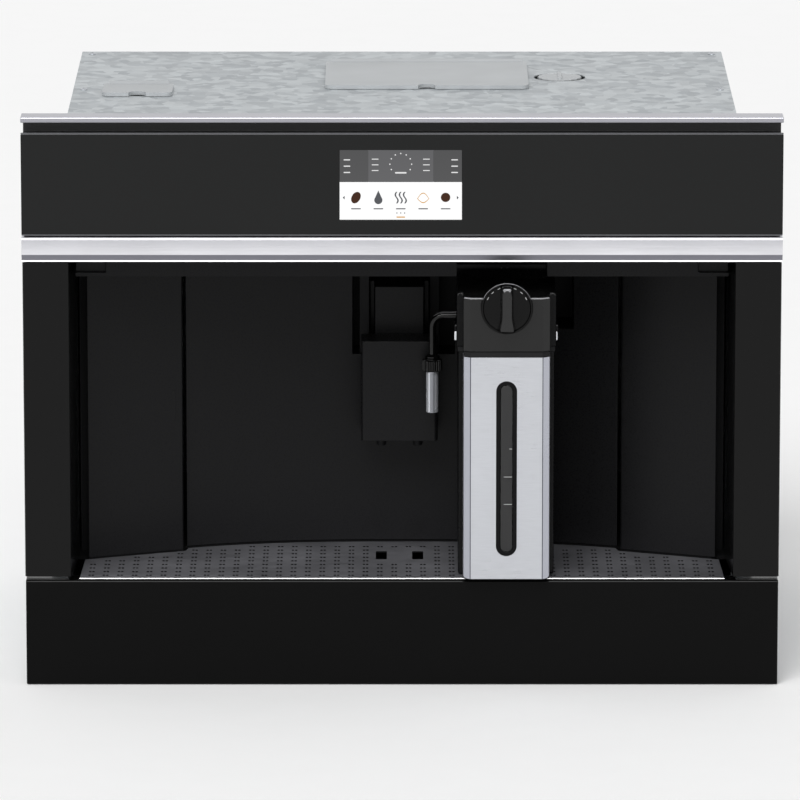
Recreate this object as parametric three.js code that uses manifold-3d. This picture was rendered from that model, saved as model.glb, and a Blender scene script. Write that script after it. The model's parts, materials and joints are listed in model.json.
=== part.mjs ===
// A built-in automatic coffee machine with a milk jug, for a kitchen niche 560 mm wide and
// 450 mm high. It hangs on two telescopic runners, so that it can be pulled out to fill the
// beans. Behind its front are a water tank, a brew unit, a grounds box and a drip drawer.
//
// Millimetres. X runs to the right, Y runs back from the front face and Z runs up from the
// bottom of the front. The last lines move the origin to the middle of the footprint.

import * as THREE from 'three';
import { mergeGeometries, mergeVertices } from 'three/addons/utils/BufferGeometryUtils.js';
import Module from 'manifold-3d';

const wasm = await Module();
wasm.setup();

// ---------------------------------------------------------------- driving dimensions

const gap = 0.3;                 // clearance between pieces that touch or slide
const over = 1;                  // how far a cut runs past the face that it opens

// The front, from its top edge down
const frontWidth = 595;
const frontHeight = 455;
const frontThickness = 20;       // what stands proud of the kitchen cabinet
const trimHeight = 4.2;          // bright strip along the top edge
const trimProud = 0.8;
const trimRounding = 0.9;
const grooveHeight = 8.5;        // shadow groove under the strip
const grooveDepth = 11;
const housingWall = 3;           // moulded housing behind the control panel
const glassHeight = 81;          // control panel
const glassThickness = 4;
const glassCorner = 1;
const barHeight = 19.3;          // silver bar under the control panel
const barProud = 3;
const barThickness = 8;
const barBevel = 4.6;            // height of the bevel along the bar's bottom
const barBevelDepth = 2;
const barLip = 1.2;
const barLipDepth = 0.4;
const barRounding = 0.9;
const barLean = 0.2;             // how far the face leans forward at its foot
const panelJoint = 1.2;          // open joint between the parts of the front
const fasciaHeight = 84.8;       // bottom panel, the front of the drip drawer
const fasciaThickness = 17.5;
const fasciaInset = 0.7;         // the bottom panel is a little narrower than the rest
const edgeRadius = 1.6;

// Display, a 4.3 inch panel
const displayWidth = 95.4;
const displayHeight = 54.8;
const displayThickness = 3;
const displayRise = 12.8;        // from the bottom of the glass to the display
const displayOffset = -1;

// Control board behind the display, on bosses of the housing
const boardWidth = 210;
const boardHeight = 58;
const boardThickness = 1.6;
const boardDepth = 26;
const bossRadius = 4;
const bossInset = 8;
const bossSides = 12;
const chipWidth = 34;
const chipHeight = 22;
const chipThickness = 5;

// Body behind the front
const frontOverhang = 33;        // how far the front reaches past the body, left and right
const bodyBottom = 6;
const bodyInset = 12;            // from the top of the front down to the top of the body
const bodyBack = 390;
const bodyStart = 22.4;
const sheet = 1.5;               // sheet steel of the covers
const panThickness = 2;

// Cavity: side walls with draft, a back that curves forward to both sides
const cavityWall = 3.5;          // from the body's outside to the cavity
const cavityDraft = 4;
const frameChamfer = 0.4;        // broken edge between the frame's face and the cavity
const wallDepth = 73;
const lintelHeight = 15.6;       // from the top of the side frames down to the ceiling
const ceilingThickness = 3;
const valanceDepth = 25;
const valanceThickness = 5;
const valanceHalfWidth = 232.5;
const notchLeft = 39;            // cut-out of the lintel, from the middle of the jug
const notchRight = 32;
const notchDepth = 60;
const notchRoof = 2;             // what stays of the lintel over the notch
const ceilingReach = 8;          // how far the roof goes past the back
const backDepth = 132.3;         // depth of the back at the middle
const backSag = 63.5;            // how far the curve has come forward at the side panels' ends
const curvePower = 2.6;
const backThickness = 3;
const hemDepth = 9;              // flange behind both seams of the back
const sidePanelWidth = 77.5;     // from a seam of the back to the side panel's outer end
const seamGap = 2.4;
const sidePanelInset = 11;       // from the cavity's side wall to a side panel
const sidePanelInner = 98.9;     // depth of the side panels' front at the seam
const sidePanelOuter = 68.8;     // and at their outer edge
const sidePanelThickness = 4;
const backStep = 20;             // largest step of X along the curve

// Recess in the back for the coffee spout and the jug's dock
const recessMargin = 35.5;       // from the right seam of the back to the recess
const dockMargin = 55;           // from the recess's right side to the jug's middle
const dockReach = 40;            // from the jug's middle to the left side of its half
const recessReach = 37.4;        // from the spout's middle to the recess's left side
const recessDrop = 84;           // from the ceiling down to the bottom of the spout's half
const dockDrop = 61;             // and of the jug's half
const recessRise = 28;           // from the ceiling up to the recess's roof
const recessDepth = 168;
const recessWall = 2;
const openingAhead = 10;         // the openings in the back start this far before the curve

// Inner floor above the drip drawer, and the partitions on it
const floorRise = 0.8;           // the floor stands this much over the grille
const floorThickness = 2.4;
const partitionThickness = 1.5;
const partitionRise = 18;        // how far the partitions reach over the ceiling
const partitionInset = 5;        // from the seams of the back to the partitions
const floorAhead = 0.5;          // the floor starts this far behind the curve of the back
const drainPortX = -130;         // opening above the tray for the waste water
const drainPortY = 180;
const drainPortHalf = 20;

// Drip drawer
const grilleRise = 1.4;          // the grille stands this much over the bottom panel
const grilleSheet = 1.1;
const grilleInset = 9.5;         // from the cavity's side wall to the grille
const grilleFront = 1;
const holePitchX = 11.4;
const holePitchY = 12.6;
const holeLength = 4.4;          // one slot stands for a pair of small round holes
const holeWidth = 2;
const holeFirstRow = 11.2;
const holeMargin = 6;
const holeCentre = -0.5;         // middle of the pattern, which has no column there
const grilleBackGap = 1.5;
const drainWidth = 8.8;          // the two drains under the coffee outlets
const drainFront = 67.4;
const drainBack = 95.7;
const trayInset = 2;             // from the grille's ends to the tray's
const trayBack = 236;
const trayBottom = 18;
const trayWall = 2;
const trayCorner = 10;
const drawerGuideX = 200;
const drawerGuideWidth = 6;
const drawerGuideReach = 20;     // how far the guides run past the tray

// Coffee spout
const spoutReach = 84;           // from the jug's middle to the spout's
const spoutWidth = 61;
const spoutFront = 92;
const spoutBack = 124;
const spoutHeight = 81;
const spoutDrop = 65.7;          // from the ceiling down to the hood, in its rest position
const spoutCorner = 3;
const spoutWall = 2.5;
const neckWidth = 39.3;
const neckDrop = 27.3;           // from the ceiling down to the neck
const neckOverlap = 13.3;        // how far the neck reaches down behind the hood
const carriageDepth = 150;
const carriageThickness = 8;
const guideWidth = 7.7;
const guideGap = 4.6;            // between the neck and the visible guide
const guideInset = 5;            // how far the visible guide stands behind the back panel
const hiddenGuideFront = 4;      // the other guide's front, before the carriage
const outletSpacing = 29;
const outletRadius = 4.6;
const outletBore = 2.4;
const outletDrop = 5;
const outletDepth = 101.5;
const outletTaper = 0.8;         // the tip's radius as a share of the outlet's
const outletShoulder = 3;        // how far the round outlets reach into the hood
const troughHalfDepth = 6;
const troughOverhang = 6;
const troughRise = 2;
const hoodHollow = 12;           // depth of the hollow under the hood

// Milk jug, measured from its own centre line
const jugHeadroom = 10.2;        // between the jug's lid and the ceiling
const jugFront = -10;
const jugFaceHalf = 28.4;
const jugShoulderHalf = 34.1;
const jugShoulderY = -6.2;
const jugStepY = 12;
const jugRearHalf = 39.2;
const jugRear = 110;
const jugRearRadius = 14;
const jugWall = 2.2;
const frontOverlap = 8;          // the narrow front runs this far into the body
const faceShare = 0.4;           // how much of an inset the slanted shoulders take up
const sleeveSheet = 1;
const sleeveBottom = 1.6;
const sleeveCorner = 6;
const windowHalf = 8.2;
const windowBottom = 20;
const windowMargin = 18.9;       // from the window up to the container's rim
const windowBezel = 3.2;
const bezelInset = 0.3;          // the bezel sits this far behind the sleeve's face
const lensThickness = 3;
const sealHeight = 4;
const lidHeight = 43.2;
const lidEdge = 3;
const lidSkirt = 5;
const knobRadius = 20.3;
const knobBelowLidTop = 7.7;
const knobThickness = 6;
const gripHalf = 5.3;
const gripProud = 9;
const knobShaft = 5;
const knobShaftLength = 9;
const knobRim = 1;
const gripFlare = 1.25;          // how much wider the grip is at its foot
const gripTopShare = 0.55;       // and how narrow at its top
const nozzleRadius = 4.5;
const nozzleInLid = 24.4;        // height of the nozzle over the lid's bottom
const nozzleReach = 12;          // how far the steam nozzle goes into the lid
const nozzleBore = 2;
const nozzleBoreDepth = 16;
const nozzleCollar = 9;
const nozzleCollarLength = 6;
const nozzleTail = 14;           // how far the nozzle goes on behind the recess
const socketClearance = 2;       // left between the nozzle's tip and the end of its socket
const intakeX = 14;
const intakeY = 70;
const intakeRadius = 4;
const intakeBore = 2.5;
const intakeBottom = 8;
const intakeSeat = 8;            // how deep the intake tube is pushed into the lid
const armX = -58;
const armY = 76;
const armInLid = 10.3;
const armRadius = 2.9;
const armBend = 10;
const armSeat = 8;               // how deep the elbow is pushed into the lid
const collarRadius = 8.1;
const collarDrop = 42.9;         // from the elbow's arm down to the collar's foot
const collarHeight = 13.5;
const collarRibs = 11;
const collarRibDepth = 0.8;
const collarGripShare = 0.62;    // the knurled part of the collar's height
const collarNeckFoot = 0.82;     // radii of the tapered neck over it, as shares
const collarNeckTop = 0.62;
const collarRoof = 1.2;
const milkTubeRadius = 4.95;
const milkTubeBore = 3.4;
const milkTubeLength = 33.5;
const milkStemRadius = 4.2;
const milkStemOverlap = 2;
const buttonY = 30;
const buttonInLid = 8.9;
const buttonLength = 16;
const buttonHeight = 14;
const buttonThickness = 4.4;
const buttonProud = 1.8;
const buttonTravel = 2;
const buttonCorner = 2.4;

// Service door on the left and water tank on the right
const doorPinRadius = 1.6;
const doorPinInset = 2.2;
const doorPinLength = 2;
const doorPinSides = 12;
const panelEdge = 0.8;           // broken edges of the two side panels
const catchWidth = 8;
const catchHeight = 24;
const catchReach = 4;
const catchInset = 14;
const tankMargin = 6.5;          // from the seam of the back to the tank
const tankInset = 3;             // from the outer end of its front to the tank
const tankBack = 335;
const tankDrop = 6;              // from the ceiling down to the tank's rim
const tankWall = 2.5;
const valveRadius = 7;
const valveInset = 24;
const dockHalf = 18;             // valve block behind the tank
const dockDepth = 30;
const dockHeight = 46;
const spigotRadius = 6;
const spigotLength = 16;

// Brew unit and grounds box behind the service door
const brewInset = 7;             // from the outer end of the service door to the brew unit
const brewMargin = 8.5;          // from the seam of the back to the brew unit
const brewFront = 116;
const brewBack = 236;
const brewDrop = 6;              // from the ceiling down to the brew unit's roof
const brewHeight = 134;
const brewCheek = 3;
const chamberRadius = 25;
const chamberBore = 20;
const chamberRise = 20;          // from the brew unit's bottom up to the chamber's
const chamberHeight = 38;
const chamberY = 158;
const pistonRadius = 19;
const pistonLength = 18;
const screwRadius = 5;
const screwY = 214;
const nutRadius = 9;
const gearTeeth = 16;
const gearRadius = 14;
const gearToothDepth = 2.4;
const gearThickness = 8;
const screwTail = 4;             // how far the screw stands over the brew unit
const chamberFloor = 8;
const carrierHalf = 8;           // arm between the chamber and its nut
const carrierHeight = 14;
const nutHeight = 22;
const brewFloor = 9;
const pipeRadius = 4;
const pipeLength = 14;
const pipeInset = 12;
const groundsFront = 112;
const groundsBack = 250;
const groundsDrop = 18;          // from the brew unit's bottom down to the box's rim
const groundsWall = 2;

// Grinder and bean hopper
const grinderX = 20;
const grinderY = 262;
const grinderRadius = 40;
const grinderHeight = 82;
const grinderDrop = 71;          // from the top cover down to the grinder
const grinderCollar = 3;         // ring under the hopper
const collarShare = 0.7;         // radii of the grinder's collar, motor and throat, as shares
const motorShare = 0.65;
const throatShare = 0.6;
const throatDepth = 12;
const outletHalf = 10;           // side outlet of the grinder
const outletReach = 22;
const outletRise = 8;
const outletHeight = 26;
const postRadius = 7;            // arm and post that carry the adjusting knob
const armHeight = 14;
const hopperHalfX = 78;
const hopperHalfY = 56;
const hopperThroat = 24;
const hopperWall = 2;
const hopperFlange = 6;
const chuteFlange = 4;
const flangeThickness = 2;
const lidCorner = 6;
const thumbRadius = 7;
const lidThickness = 3;
const lidOverlap = 4;
const lidHingeRadius = 2.5;
const knobWellRadius = 21;
const grindKnobRadius = 18;
const grindKnobHeight = 9;
const grindKnobReach = 108;      // from the grinder's axis to the knob's
const grindStemRadius = 4;
const grindKnobProud = 2;
const grindKnobRibs = 18;
const grindRibDepth = 0.9;
const pointerHalf = 1.6;
const pointerInset = 3;
const pointerProud = 1.5;

// Chute for ground coffee
const chuteY = 190;
const chuteHalfX = 24;
const chuteHalfY = 19;
const chuteThroat = 12;
const chuteRise = 26;            // from the ceiling up to the funnel's neck

// Boiler, pump and control board
const boilerX = -70;
const boilerY = 300;
const boilerRadius = 32;
const boilerBottom = 96;
const boilerHeight = 120;
const boilerFlange = 38;
const boilerFlangeHeight = 6;
const boilerLegX = 24;
const boilerLegHalf = 4;
const boilerLegDepth = 8;
const boilerOutletRadius = 5;
const boilerOutletHeight = 14;
const pumpX = 70;
const pumpY = 300;
const pumpRadius = 22;
const pumpLength = 92;
const pumpAxisHeight = 122;
const pumpStemRadius = 9;
const pumpNose = 22;             // bare stem before the coil, and behind it
const pumpTail = 14;
const pumpFootHalfX = 14;
const pumpFootHalfY = 20;
const pumpFootShare = 0.7;

// Telescopic runners on both sides
const runnerHeight = 45;
const runnerBottom = 100;
const runnerFront = 26;
const runnerLength = 350;
const runnerSheet = 1.5;
const runnerClearance = 1;       // between the machine's side and the two outer channels
const runnerThickness = 15;      // from the body's side to the niche's wall, less half a millimetre

// Mains inlet and switch in the rear cover
const inletInset = 114.5;        // from the body's right side to the inlet's middle
const inletZ = 60;
const inletWidth = 27;
const inletHeight = 20;
const inletDepth = 17;
const inletWall = 2.5;
const inletFlange = 4;
const inletProud = 1.5;
const pinSize = 2.4;
const pinSpacing = 7;
const pinDrop = 2;
const earthRise = 4;
const pinInset = 3;              // the pins end this far inside the socket
const bridgeHalf = 6;
const bridgeStep = 0.5;
const switchReach = 31;          // from the inlet's middle to the rocker's
const switchWidth = 13;
const switchHeight = 19;
const switchDepth = 9;
const switchWall = 1.5;
const switchProud = 1;
const rockerProud = 2;
const rockerAxis = 2.5;          // depth of its axis in the rear cover
const rockerBase = 1.5;
const rockerLow = 0.2;           // the pressed end stands this proud
const rockerMiddle = 0.4;
const rockerFoot = 0.5;
const rockerSlack = 1.2;          // room for the rocker's ends as it tilts

// Rear louvres
const louvreCount = 7;
const louvreWidth = 120;
const louvreHeight = 5;
const louvrePitch = 14;
const louvreBottom = 250;
const louvreMiddle = 15;         // half the plain strip between the two columns

// ---------------------------------------------------------------- materials

function material(color, roughness, metalness, opacity = 1) {
  const transparent = opacity < 1;
  return new THREE.MeshStandardMaterial({ color, roughness, metalness, opacity, transparent });
}

const blackGlass = material('#1b1c1d', 0.16, 0);
const blackPlastic = material('#1a1a1b', 0.4, 0);
const greyPlastic = material('#55585b', 0.5, 0);
const mattBlack = material('#0c0c0d', 0.8, 0);
const screenGlass = material('#e9e9e6', 0.3, 0);
const anodised = material('#c3c5c7', 0.3, 1);
const brushedSteel = material('#b4b3b0', 0.34, 1);
const grilleSteel = material('#7c7d80', 0.38, 1);
const chrome = material('#d9dadc', 0.08, 1);
const zincSheet = material('#9ea2a5', 0.5, 0.9);
const clearPlastic = material('#c9d2d8', 0.1, 0, 0.45);
const brass = material('#b08d4a', 0.35, 1);
const boardGreen = material('#2c5a3c', 0.6, 0);

// ---------------------------------------------------------------- solids

// A closed mesh as a solid that can be joined and cut.
function solidOf(geometry) {
  const plain = geometry.clone();
  plain.deleteAttribute('normal');
  plain.deleteAttribute('uv');
  const merged = mergeVertices(plain, 1e-4);
  const vertProperties = new Float32Array(merged.attributes.position.array);
  const triVerts = new Uint32Array(merged.index.array);
  return new wasm.Manifold(new wasm.Mesh({ numProp: 3, vertProperties, triVerts }));
}

function geometryOf(solid) {
  const mesh = solid.getMesh();
  const geometry = new THREE.BufferGeometry();
  geometry.setAttribute('position', new THREE.BufferAttribute(mesh.vertProperties, 3));
  geometry.setIndex(new THREE.BufferAttribute(mesh.triVerts, 1));
  geometry.computeVertexNormals();
  return geometry;
}

function boxGeometry([x0, x1], [y0, y1], [z0, z1]) {
  const geometry = new THREE.BoxGeometry(x1 - x0, y1 - y0, z1 - z0);
  return geometry.translate((x0 + x1) / 2, (y0 + y1) / 2, (z0 + z1) / 2);
}

function block(xs, ys, zs) {
  return solidOf(boxGeometry(xs, ys, zs));
}

// Many separate boxes as one solid, for cutting a pattern at once.
function blocks(list) {
  return solidOf(mergeGeometries(list.map((spans) => boxGeometry(...spans))));
}

function shapeOf(outline) {
  if (outline instanceof THREE.Shape) return outline;
  return new THREE.Shape(outline.map(([u, v]) => new THREE.Vector2(u, v)));
}

function extruded(outline, depth, curveSegments = 6) {
  return new THREE.ExtrudeGeometry(shapeOf(outline), { depth, bevelEnabled: false, curveSegments });
}

// An outline in plan (x, y), from one height to another.
function upright(outline, [z0, z1], curveSegments) {
  return solidOf(extruded(outline, z1 - z0, curveSegments).translate(0, 0, z0));
}

// An outline seen from the front (x, z), from one depth to another.
function facing(outline, [y0, y1], curveSegments) {
  const geometry = extruded(outline, y1 - y0, curveSegments);
  return solidOf(geometry.rotateX(Math.PI / 2).translate(0, y1, 0));
}

// A section seen from the side (y, z), run along X.
function lengthwise(section, [x0, x1], curveSegments) {
  const turned = new THREE.Matrix4().set(0, 0, 1, 0, 1, 0, 0, 0, 0, 1, 0, 0, 0, 0, 0, 1);
  const geometry = extruded(section, x1 - x0, curveSegments).applyMatrix4(turned);
  return solidOf(geometry.translate(x0, 0, 0));
}

// Round bars and bores along each axis, through a centre given in the other two.
function roundZ([x, y], radius, [z0, z1], sides = 24, topRadius = radius) {
  const geometry = new THREE.CylinderGeometry(topRadius, radius, z1 - z0, sides);
  return solidOf(geometry.rotateX(Math.PI / 2).translate(x, y, (z0 + z1) / 2));
}

function roundY([x, z], radius, [y0, y1], sides = 24) {
  const geometry = new THREE.CylinderGeometry(radius, radius, y1 - y0, sides);
  return solidOf(geometry.translate(x, (y0 + y1) / 2, z));
}

function roundX([y, z], radius, [x0, x1], sides = 24) {
  const geometry = new THREE.CylinderGeometry(radius, radius, x1 - x0, sides);
  return solidOf(geometry.rotateZ(Math.PI / 2).translate((x0 + x1) / 2, y, z));
}

// A rectangle with round corners, from its two opposite corners.
function roundedRectangle([u0, u1], [v0, v1], radius) {
  const shape = new THREE.Shape();
  shape.absarc(u1 - radius, v0 + radius, radius, -Math.PI / 2, 0);
  shape.absarc(u1 - radius, v1 - radius, radius, 0, Math.PI / 2);
  shape.absarc(u0 + radius, v1 - radius, radius, Math.PI / 2, Math.PI);
  shape.absarc(u0 + radius, v0 + radius, radius, Math.PI, Math.PI * 1.5);
  shape.closePath();
  return shape;
}

// A frustum with rectangular ends, wide at the top, for a funnel or a hopper.
function funnel([x, y], [topX, topY], [bottomX, bottomY], [z0, z1]) {
  const geometry = new THREE.CylinderGeometry(1, 1, z1 - z0, 4, 1).rotateY(Math.PI / 4);
  geometry.rotateX(Math.PI / 2);
  const position = geometry.attributes.position;
  for (let i = 0; i < position.count; i += 1) {
    const top = position.getZ(i) > 0;
    const halfX = top ? topX : bottomX;
    const halfY = top ? topY : bottomY;
    const u = position.getX(i);
    const v = position.getY(i);
    const onRim = Math.hypot(u, v) > 0.5;
    position.setX(i, onRim ? x + Math.sign(u) * halfX : x);
    position.setY(i, onRim ? y + Math.sign(v) * halfY : y);
    position.setZ(i, (z0 + z1) / 2 + position.getZ(i));
  }
  return solidOf(geometry);
}

function joined(first, ...others) {
  return others.reduce((sum, other) => sum.add(other), first);
}

function cut(first, ...others) {
  return others.reduce((rest, other) => rest.subtract(other), first);
}

function part(group, name, solid, finish) {
  const mesh = new THREE.Mesh(geometryOf(solid), finish);
  mesh.name = name;
  group.add(mesh);
  return mesh;
}

// The same outline on the other side of the middle plane.
function mirrored(outline) {
  return outline.map(([x, y]) => [-x, y]).reverse();
}

// ---------------------------------------------------------------- derived places

// Heights, from the top of the front down to the cavity's ceiling
const trimBottom = frontHeight - trimHeight;
const glassTop = trimBottom - grooveHeight;
const glassBottom = glassTop - glassHeight;
const barTop = glassBottom - panelJoint;
const barBottom = barTop - barHeight;
const sideFrameTop = barBottom - panelJoint;
const ceilingHeight = sideFrameTop - lintelHeight;
const bodyTop = frontHeight - bodyInset;

// Heights, from the bottom panel up to the inner floor
const grilleTop = fasciaHeight + grilleRise;
const sideFrameBottom = grilleTop + panelJoint + gap;
const floorTop = grilleTop + floorRise;
const floorBottom = floorTop - floorThickness;

// Widths and depths
const halfFront = frontWidth / 2;
const halfBody = halfFront - frontOverhang;
const cavityHalfWidth = halfBody - cavityWall;
const sidePanelOuterX = cavityHalfWidth - sidePanelInset;
const seamHalfWidth = sidePanelOuterX - sidePanelWidth;
const grilleHalfWidth = cavityHalfWidth - grilleInset;
const trayHalfWidth = grilleHalfWidth - trayInset;
const runnerOuterFace = halfBody + runnerThickness;
const innerBack = bodyBack - sheet - gap;
const inletX = halfBody - inletInset;
const switchX = inletX + switchReach;

// Control board
const boardMiddle = (glassTop + glassBottom) / 2;

// Recess, jug and coffee spout, across the front
const recessRight = seamHalfWidth - recessMargin;
const jugX = recessRight - dockMargin;
const dockLeft = jugX - dockReach;
const spoutX = jugX - spoutReach;
const recessLeft = spoutX - recessReach;
const notchFrom = jugX - notchLeft;
const notchTo = jugX + notchRight;

// Recess, coffee spout and partitions, in height
const recessBottom = ceilingHeight - recessDrop;
const dockBottom = ceilingHeight - dockDrop;
const recessTop = ceilingHeight + recessRise;
const partitionTop = ceilingHeight + partitionRise;
const spoutTop = ceilingHeight - spoutDrop;
const spoutBottom = spoutTop - spoutHeight;
const neckTop = ceilingHeight - neckDrop;
const neckBottom = spoutTop - neckOverlap;

// Jug: it stands on the grille and ends under the ceiling. All but its bottom is measured
// from its own foot.
const jugBottom = grilleTop + gap;
const lidTop = ceilingHeight - jugHeadroom - jugBottom;
const lidBottom = lidTop - lidHeight;
const jugHeight = lidBottom - sealHeight - 2 * gap;
const windowTop = jugHeight - windowMargin;
const knobZ = lidTop - knobBelowLidTop;
const nozzleRise = lidBottom + nozzleInLid;
const buttonRise = lidBottom + buttonInLid;
const armRise = lidBottom + armInLid;
const collarBottom = armRise - collarDrop;
const milkTubeBottom = collarBottom - milkTubeLength;

// Water tank, brew unit and grounds box
const tankInner = seamHalfWidth + tankMargin;
const tankOuter = sidePanelOuterX - tankInset;
const tankMiddle = (tankInner + tankOuter) / 2;
const tankTop = ceilingHeight - tankDrop;
const brewLeft = brewInset - sidePanelOuterX;
const brewRight = -seamHalfWidth - brewMargin;
const brewMiddle = (brewLeft + brewRight) / 2;
const brewTop = ceilingHeight - brewDrop;
const brewBottom = brewTop - brewHeight;
const chamberBottom = brewBottom + chamberRise;
const groundsTop = brewBottom - groundsDrop;

// Grinder and chute
const grinderTop = bodyTop - grinderDrop;
const grinderBottom = grinderTop - grinderHeight;
const grindKnobX = grinderX + grindKnobReach;
const grindKnobBottom = bodyTop + grindKnobProud - grindKnobHeight;
const chuteBottom = ceilingHeight + chuteRise;

// Depth of the curved back at a distance from the middle.
function backCurve(x) {
  return backDepth - backSag * (Math.abs(x) / sidePanelOuterX) ** curvePower;
}

// Depth of the flat side panels' front, left or right.
const sidePanelSlope = (sidePanelInner - sidePanelOuter) / (sidePanelOuterX - seamHalfWidth);
function sidePanelDepth(x) {
  return sidePanelOuter + (sidePanelOuterX - Math.abs(x)) * sidePanelSlope;
}

// Upright axis of the service door, on the left.
const doorAxisX = sidePanelOuterX - doorPinInset;
const doorAxis = [-doorAxisX, sidePanelDepth(doorAxisX) + sidePanelThickness / 2];

// Points along the curve, from one x to another, moved back by an offset.
function curvePoints(from, to, offset) {
  const steps = Math.ceil(Math.abs(to - from) / backStep);
  const points = [];
  for (let i = 0; i <= steps; i += 1) {
    const x = from + (to - from) * i / steps;
    points.push([x, backCurve(x) + offset]);
  }
  return points;
}

// ---------------------------------------------------------------- front

function topTrim() {
  const section = roundedRectangle([-trimProud, frontThickness], [trimBottom, frontHeight], trimRounding);
  return lengthwise(section, [-halfFront, halfFront], 3);
}

// The display's place across the front, with a clearance round it.
function displaySpan(clearance) {
  const half = displayWidth / 2 + clearance;
  const bottom = glassBottom + displayRise;
  return {
    xs: [displayOffset - half, displayOffset + half],
    zs: [bottom - clearance, bottom + displayHeight + clearance],
  };
}

// Centres of the four bosses that carry the control board.
function bossCentres() {
  const x = boardWidth / 2 - bossInset;
  const z = boardHeight / 2 - bossInset;
  return [[-x, -z], [x, -z], [x, z], [-x, z]].map(([u, v]) => [displayOffset + u, boardMiddle + v]);
}

// Moulded housing behind the control panel, with the shadow groove along its top and a
// hollow rear half for the electronics, inside the body's width.
function controlHousing() {
  const wall = housingWall;
  const front = glassThickness + gap;
  const top = trimBottom - gap;
  const bottom = sideFrameTop + gap;
  const barBack = barThickness + gap;
  const section = [
    [front, glassBottom], [barBack, glassBottom], [barBack, bottom], [frontThickness, bottom],
    [frontThickness, top], [grooveDepth, top], [grooveDepth, glassTop], [front, glassTop],
  ];
  const half = halfFront - wall / 2;
  const rearHalf = halfBody - sheet - wall / 2;
  const rearTop = bodyTop - 2 * sheet;
  const shell = lengthwise(section, [-half, half]);
  const frontHollow = block([-half + wall, half - wall], [grooveDepth + wall, frontThickness + over],
    [bottom + wall, top - wall]);
  const rear = block([-rearHalf, rearHalf], [grooveDepth, wallDepth], [bottom + wall, rearTop]);
  const rearHollow = block([-rearHalf + wall, rearHalf - wall], [grooveDepth + wall, wallDepth + over],
    [bottom + 2 * wall, rearTop - wall]);
  const seat = displaySpan(gap);
  const displaySeat = block(seat.xs, [front - over, front + displayThickness + gap], seat.zs);
  const bossDepth = [grooveDepth + wall - over, boardDepth - gap];
  const bosses = bossCentres().map((at) => roundY(at, bossRadius, bossDepth, bossSides));
  return joined(cut(joined(cut(shell, frontHollow), rear), rearHollow, displaySeat), ...bosses);
}

// Circuit board on the housing's bosses, with its processor.
function controlBoard() {
  const half = boardWidth / 2;
  const back = boardDepth + boardThickness;
  const board = block([displayOffset - half, displayOffset + half], [boardDepth, back],
    [boardMiddle - boardHeight / 2, boardMiddle + boardHeight / 2]);
  const chip = block([displayOffset - chipWidth / 2, displayOffset + chipWidth / 2],
    [back - over, back + chipThickness], [boardMiddle - chipHeight / 2, boardMiddle + chipHeight / 2]);
  return joined(board, chip);
}

function controlGlass() {
  const outline = roundedRectangle([-halfFront, halfFront], [glassBottom, glassTop], glassCorner);
  return facing(outline, [0, glassThickness], 2);
}

function displayScreen() {
  const front = glassThickness + gap;
  const { xs, zs } = displaySpan(0);
  return block(xs, [front, front + displayThickness], zs);
}

// Extruded aluminium bar: a nearly upright face over a bevel that runs back to a lip.
function silverBar() {
  const face = -barProud;
  const bevelBack = face - barLean + barBevelDepth;
  const section = [
    [face + barRounding, barTop], [face, barTop - barRounding],
    [face - barLean, barBottom + barLip + barBevel], [bevelBack, barBottom + barLip],
    [bevelBack - barLipDepth, barBottom], [barThickness, barBottom], [barThickness, barTop],
  ];
  return lengthwise(section, [-halfFront, halfFront]);
}

// Side frame: the face beside the cavity and the cavity's side wall, with its draft.
function sideFrame(side) {
  const outer = halfFront - fasciaInset / 2;
  const wall = halfBody - 2 * sheet;
  const r = edgeRadius;
  const outline = [
    [cavityHalfWidth + frameChamfer, 0], [outer - r, 0], [outer - 0.3 * r, 0.3 * r], [outer, r],
    [outer, frontThickness], [wall, frontThickness], [wall, wallDepth],
    [cavityHalfWidth - cavityDraft, wallDepth], [cavityHalfWidth, frameChamfer],
  ];
  return upright(side > 0 ? outline : mirrored(outline), [sideFrameBottom, sideFrameTop]);
}

// Roof of the cavity with the lintel along its front, notched above the jug. Its back edge
// follows the curve and it is open over the recess.
function cavityCeiling() {
  const half = cavityHalfWidth - cavityDraft - gap;
  const corner = sidePanelDepth(half) + sidePanelThickness + backThickness;
  const outline = [
    [half, valanceDepth], [half, corner],
    ...curvePoints(sidePanelOuterX, -sidePanelOuterX, backThickness + ceilingReach),
    [-half, corner], [-half, valanceDepth],
  ];
  const top = ceilingHeight + ceilingThickness;
  const plate = upright(outline, [ceilingHeight, top]);
  const lintel = block([-valanceHalfWidth, valanceHalfWidth], [valanceDepth, valanceDepth + valanceThickness],
    [ceilingHeight, sideFrameTop]);
  const overRecess = block([recessLeft - recessWall - gap, recessRight + recessWall + gap],
    [backCurve(recessRight) - openingAhead - recessWall, recessDepth + recessWall],
    [ceilingHeight - over, recessTop]);
  const notch = block([notchFrom, notchTo], [0, notchDepth],
    [ceilingHeight - over, sideFrameTop - notchRoof]);
  const pin = roundZ(doorAxis, doorPinRadius + gap, [ceilingHeight - over, top + over], doorPinSides);
  return cut(joined(plate, lintel), overRecess, notch, pin);
}

// ---------------------------------------------------------------- back of the cavity

// Middle of the cavity's back, with a hem along both seams, open in front of the recess.
function backPanel() {
  const hemStart = seamHalfWidth - backThickness;
  const hemBack = backCurve(seamHalfWidth) + hemDepth;
  const outline = [
    ...curvePoints(-seamHalfWidth, seamHalfWidth, 0), [seamHalfWidth, hemBack], [hemStart, hemBack],
    ...curvePoints(hemStart, -hemStart, backThickness), [-hemStart, hemBack], [-seamHalfWidth, hemBack],
  ];
  const shell = upright(outline, [floorTop + gap, ceilingHeight - gap]);
  const through = [backCurve(recessRight) - openingAhead, recessDepth];
  const dockOpening = block([recessLeft, recessRight], through, [dockBottom, ceilingHeight]);
  const spoutOpening = block([recessLeft, dockLeft], through, [recessBottom, ceilingHeight]);
  return cut(shell, dockOpening, spoutOpening);
}

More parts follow.
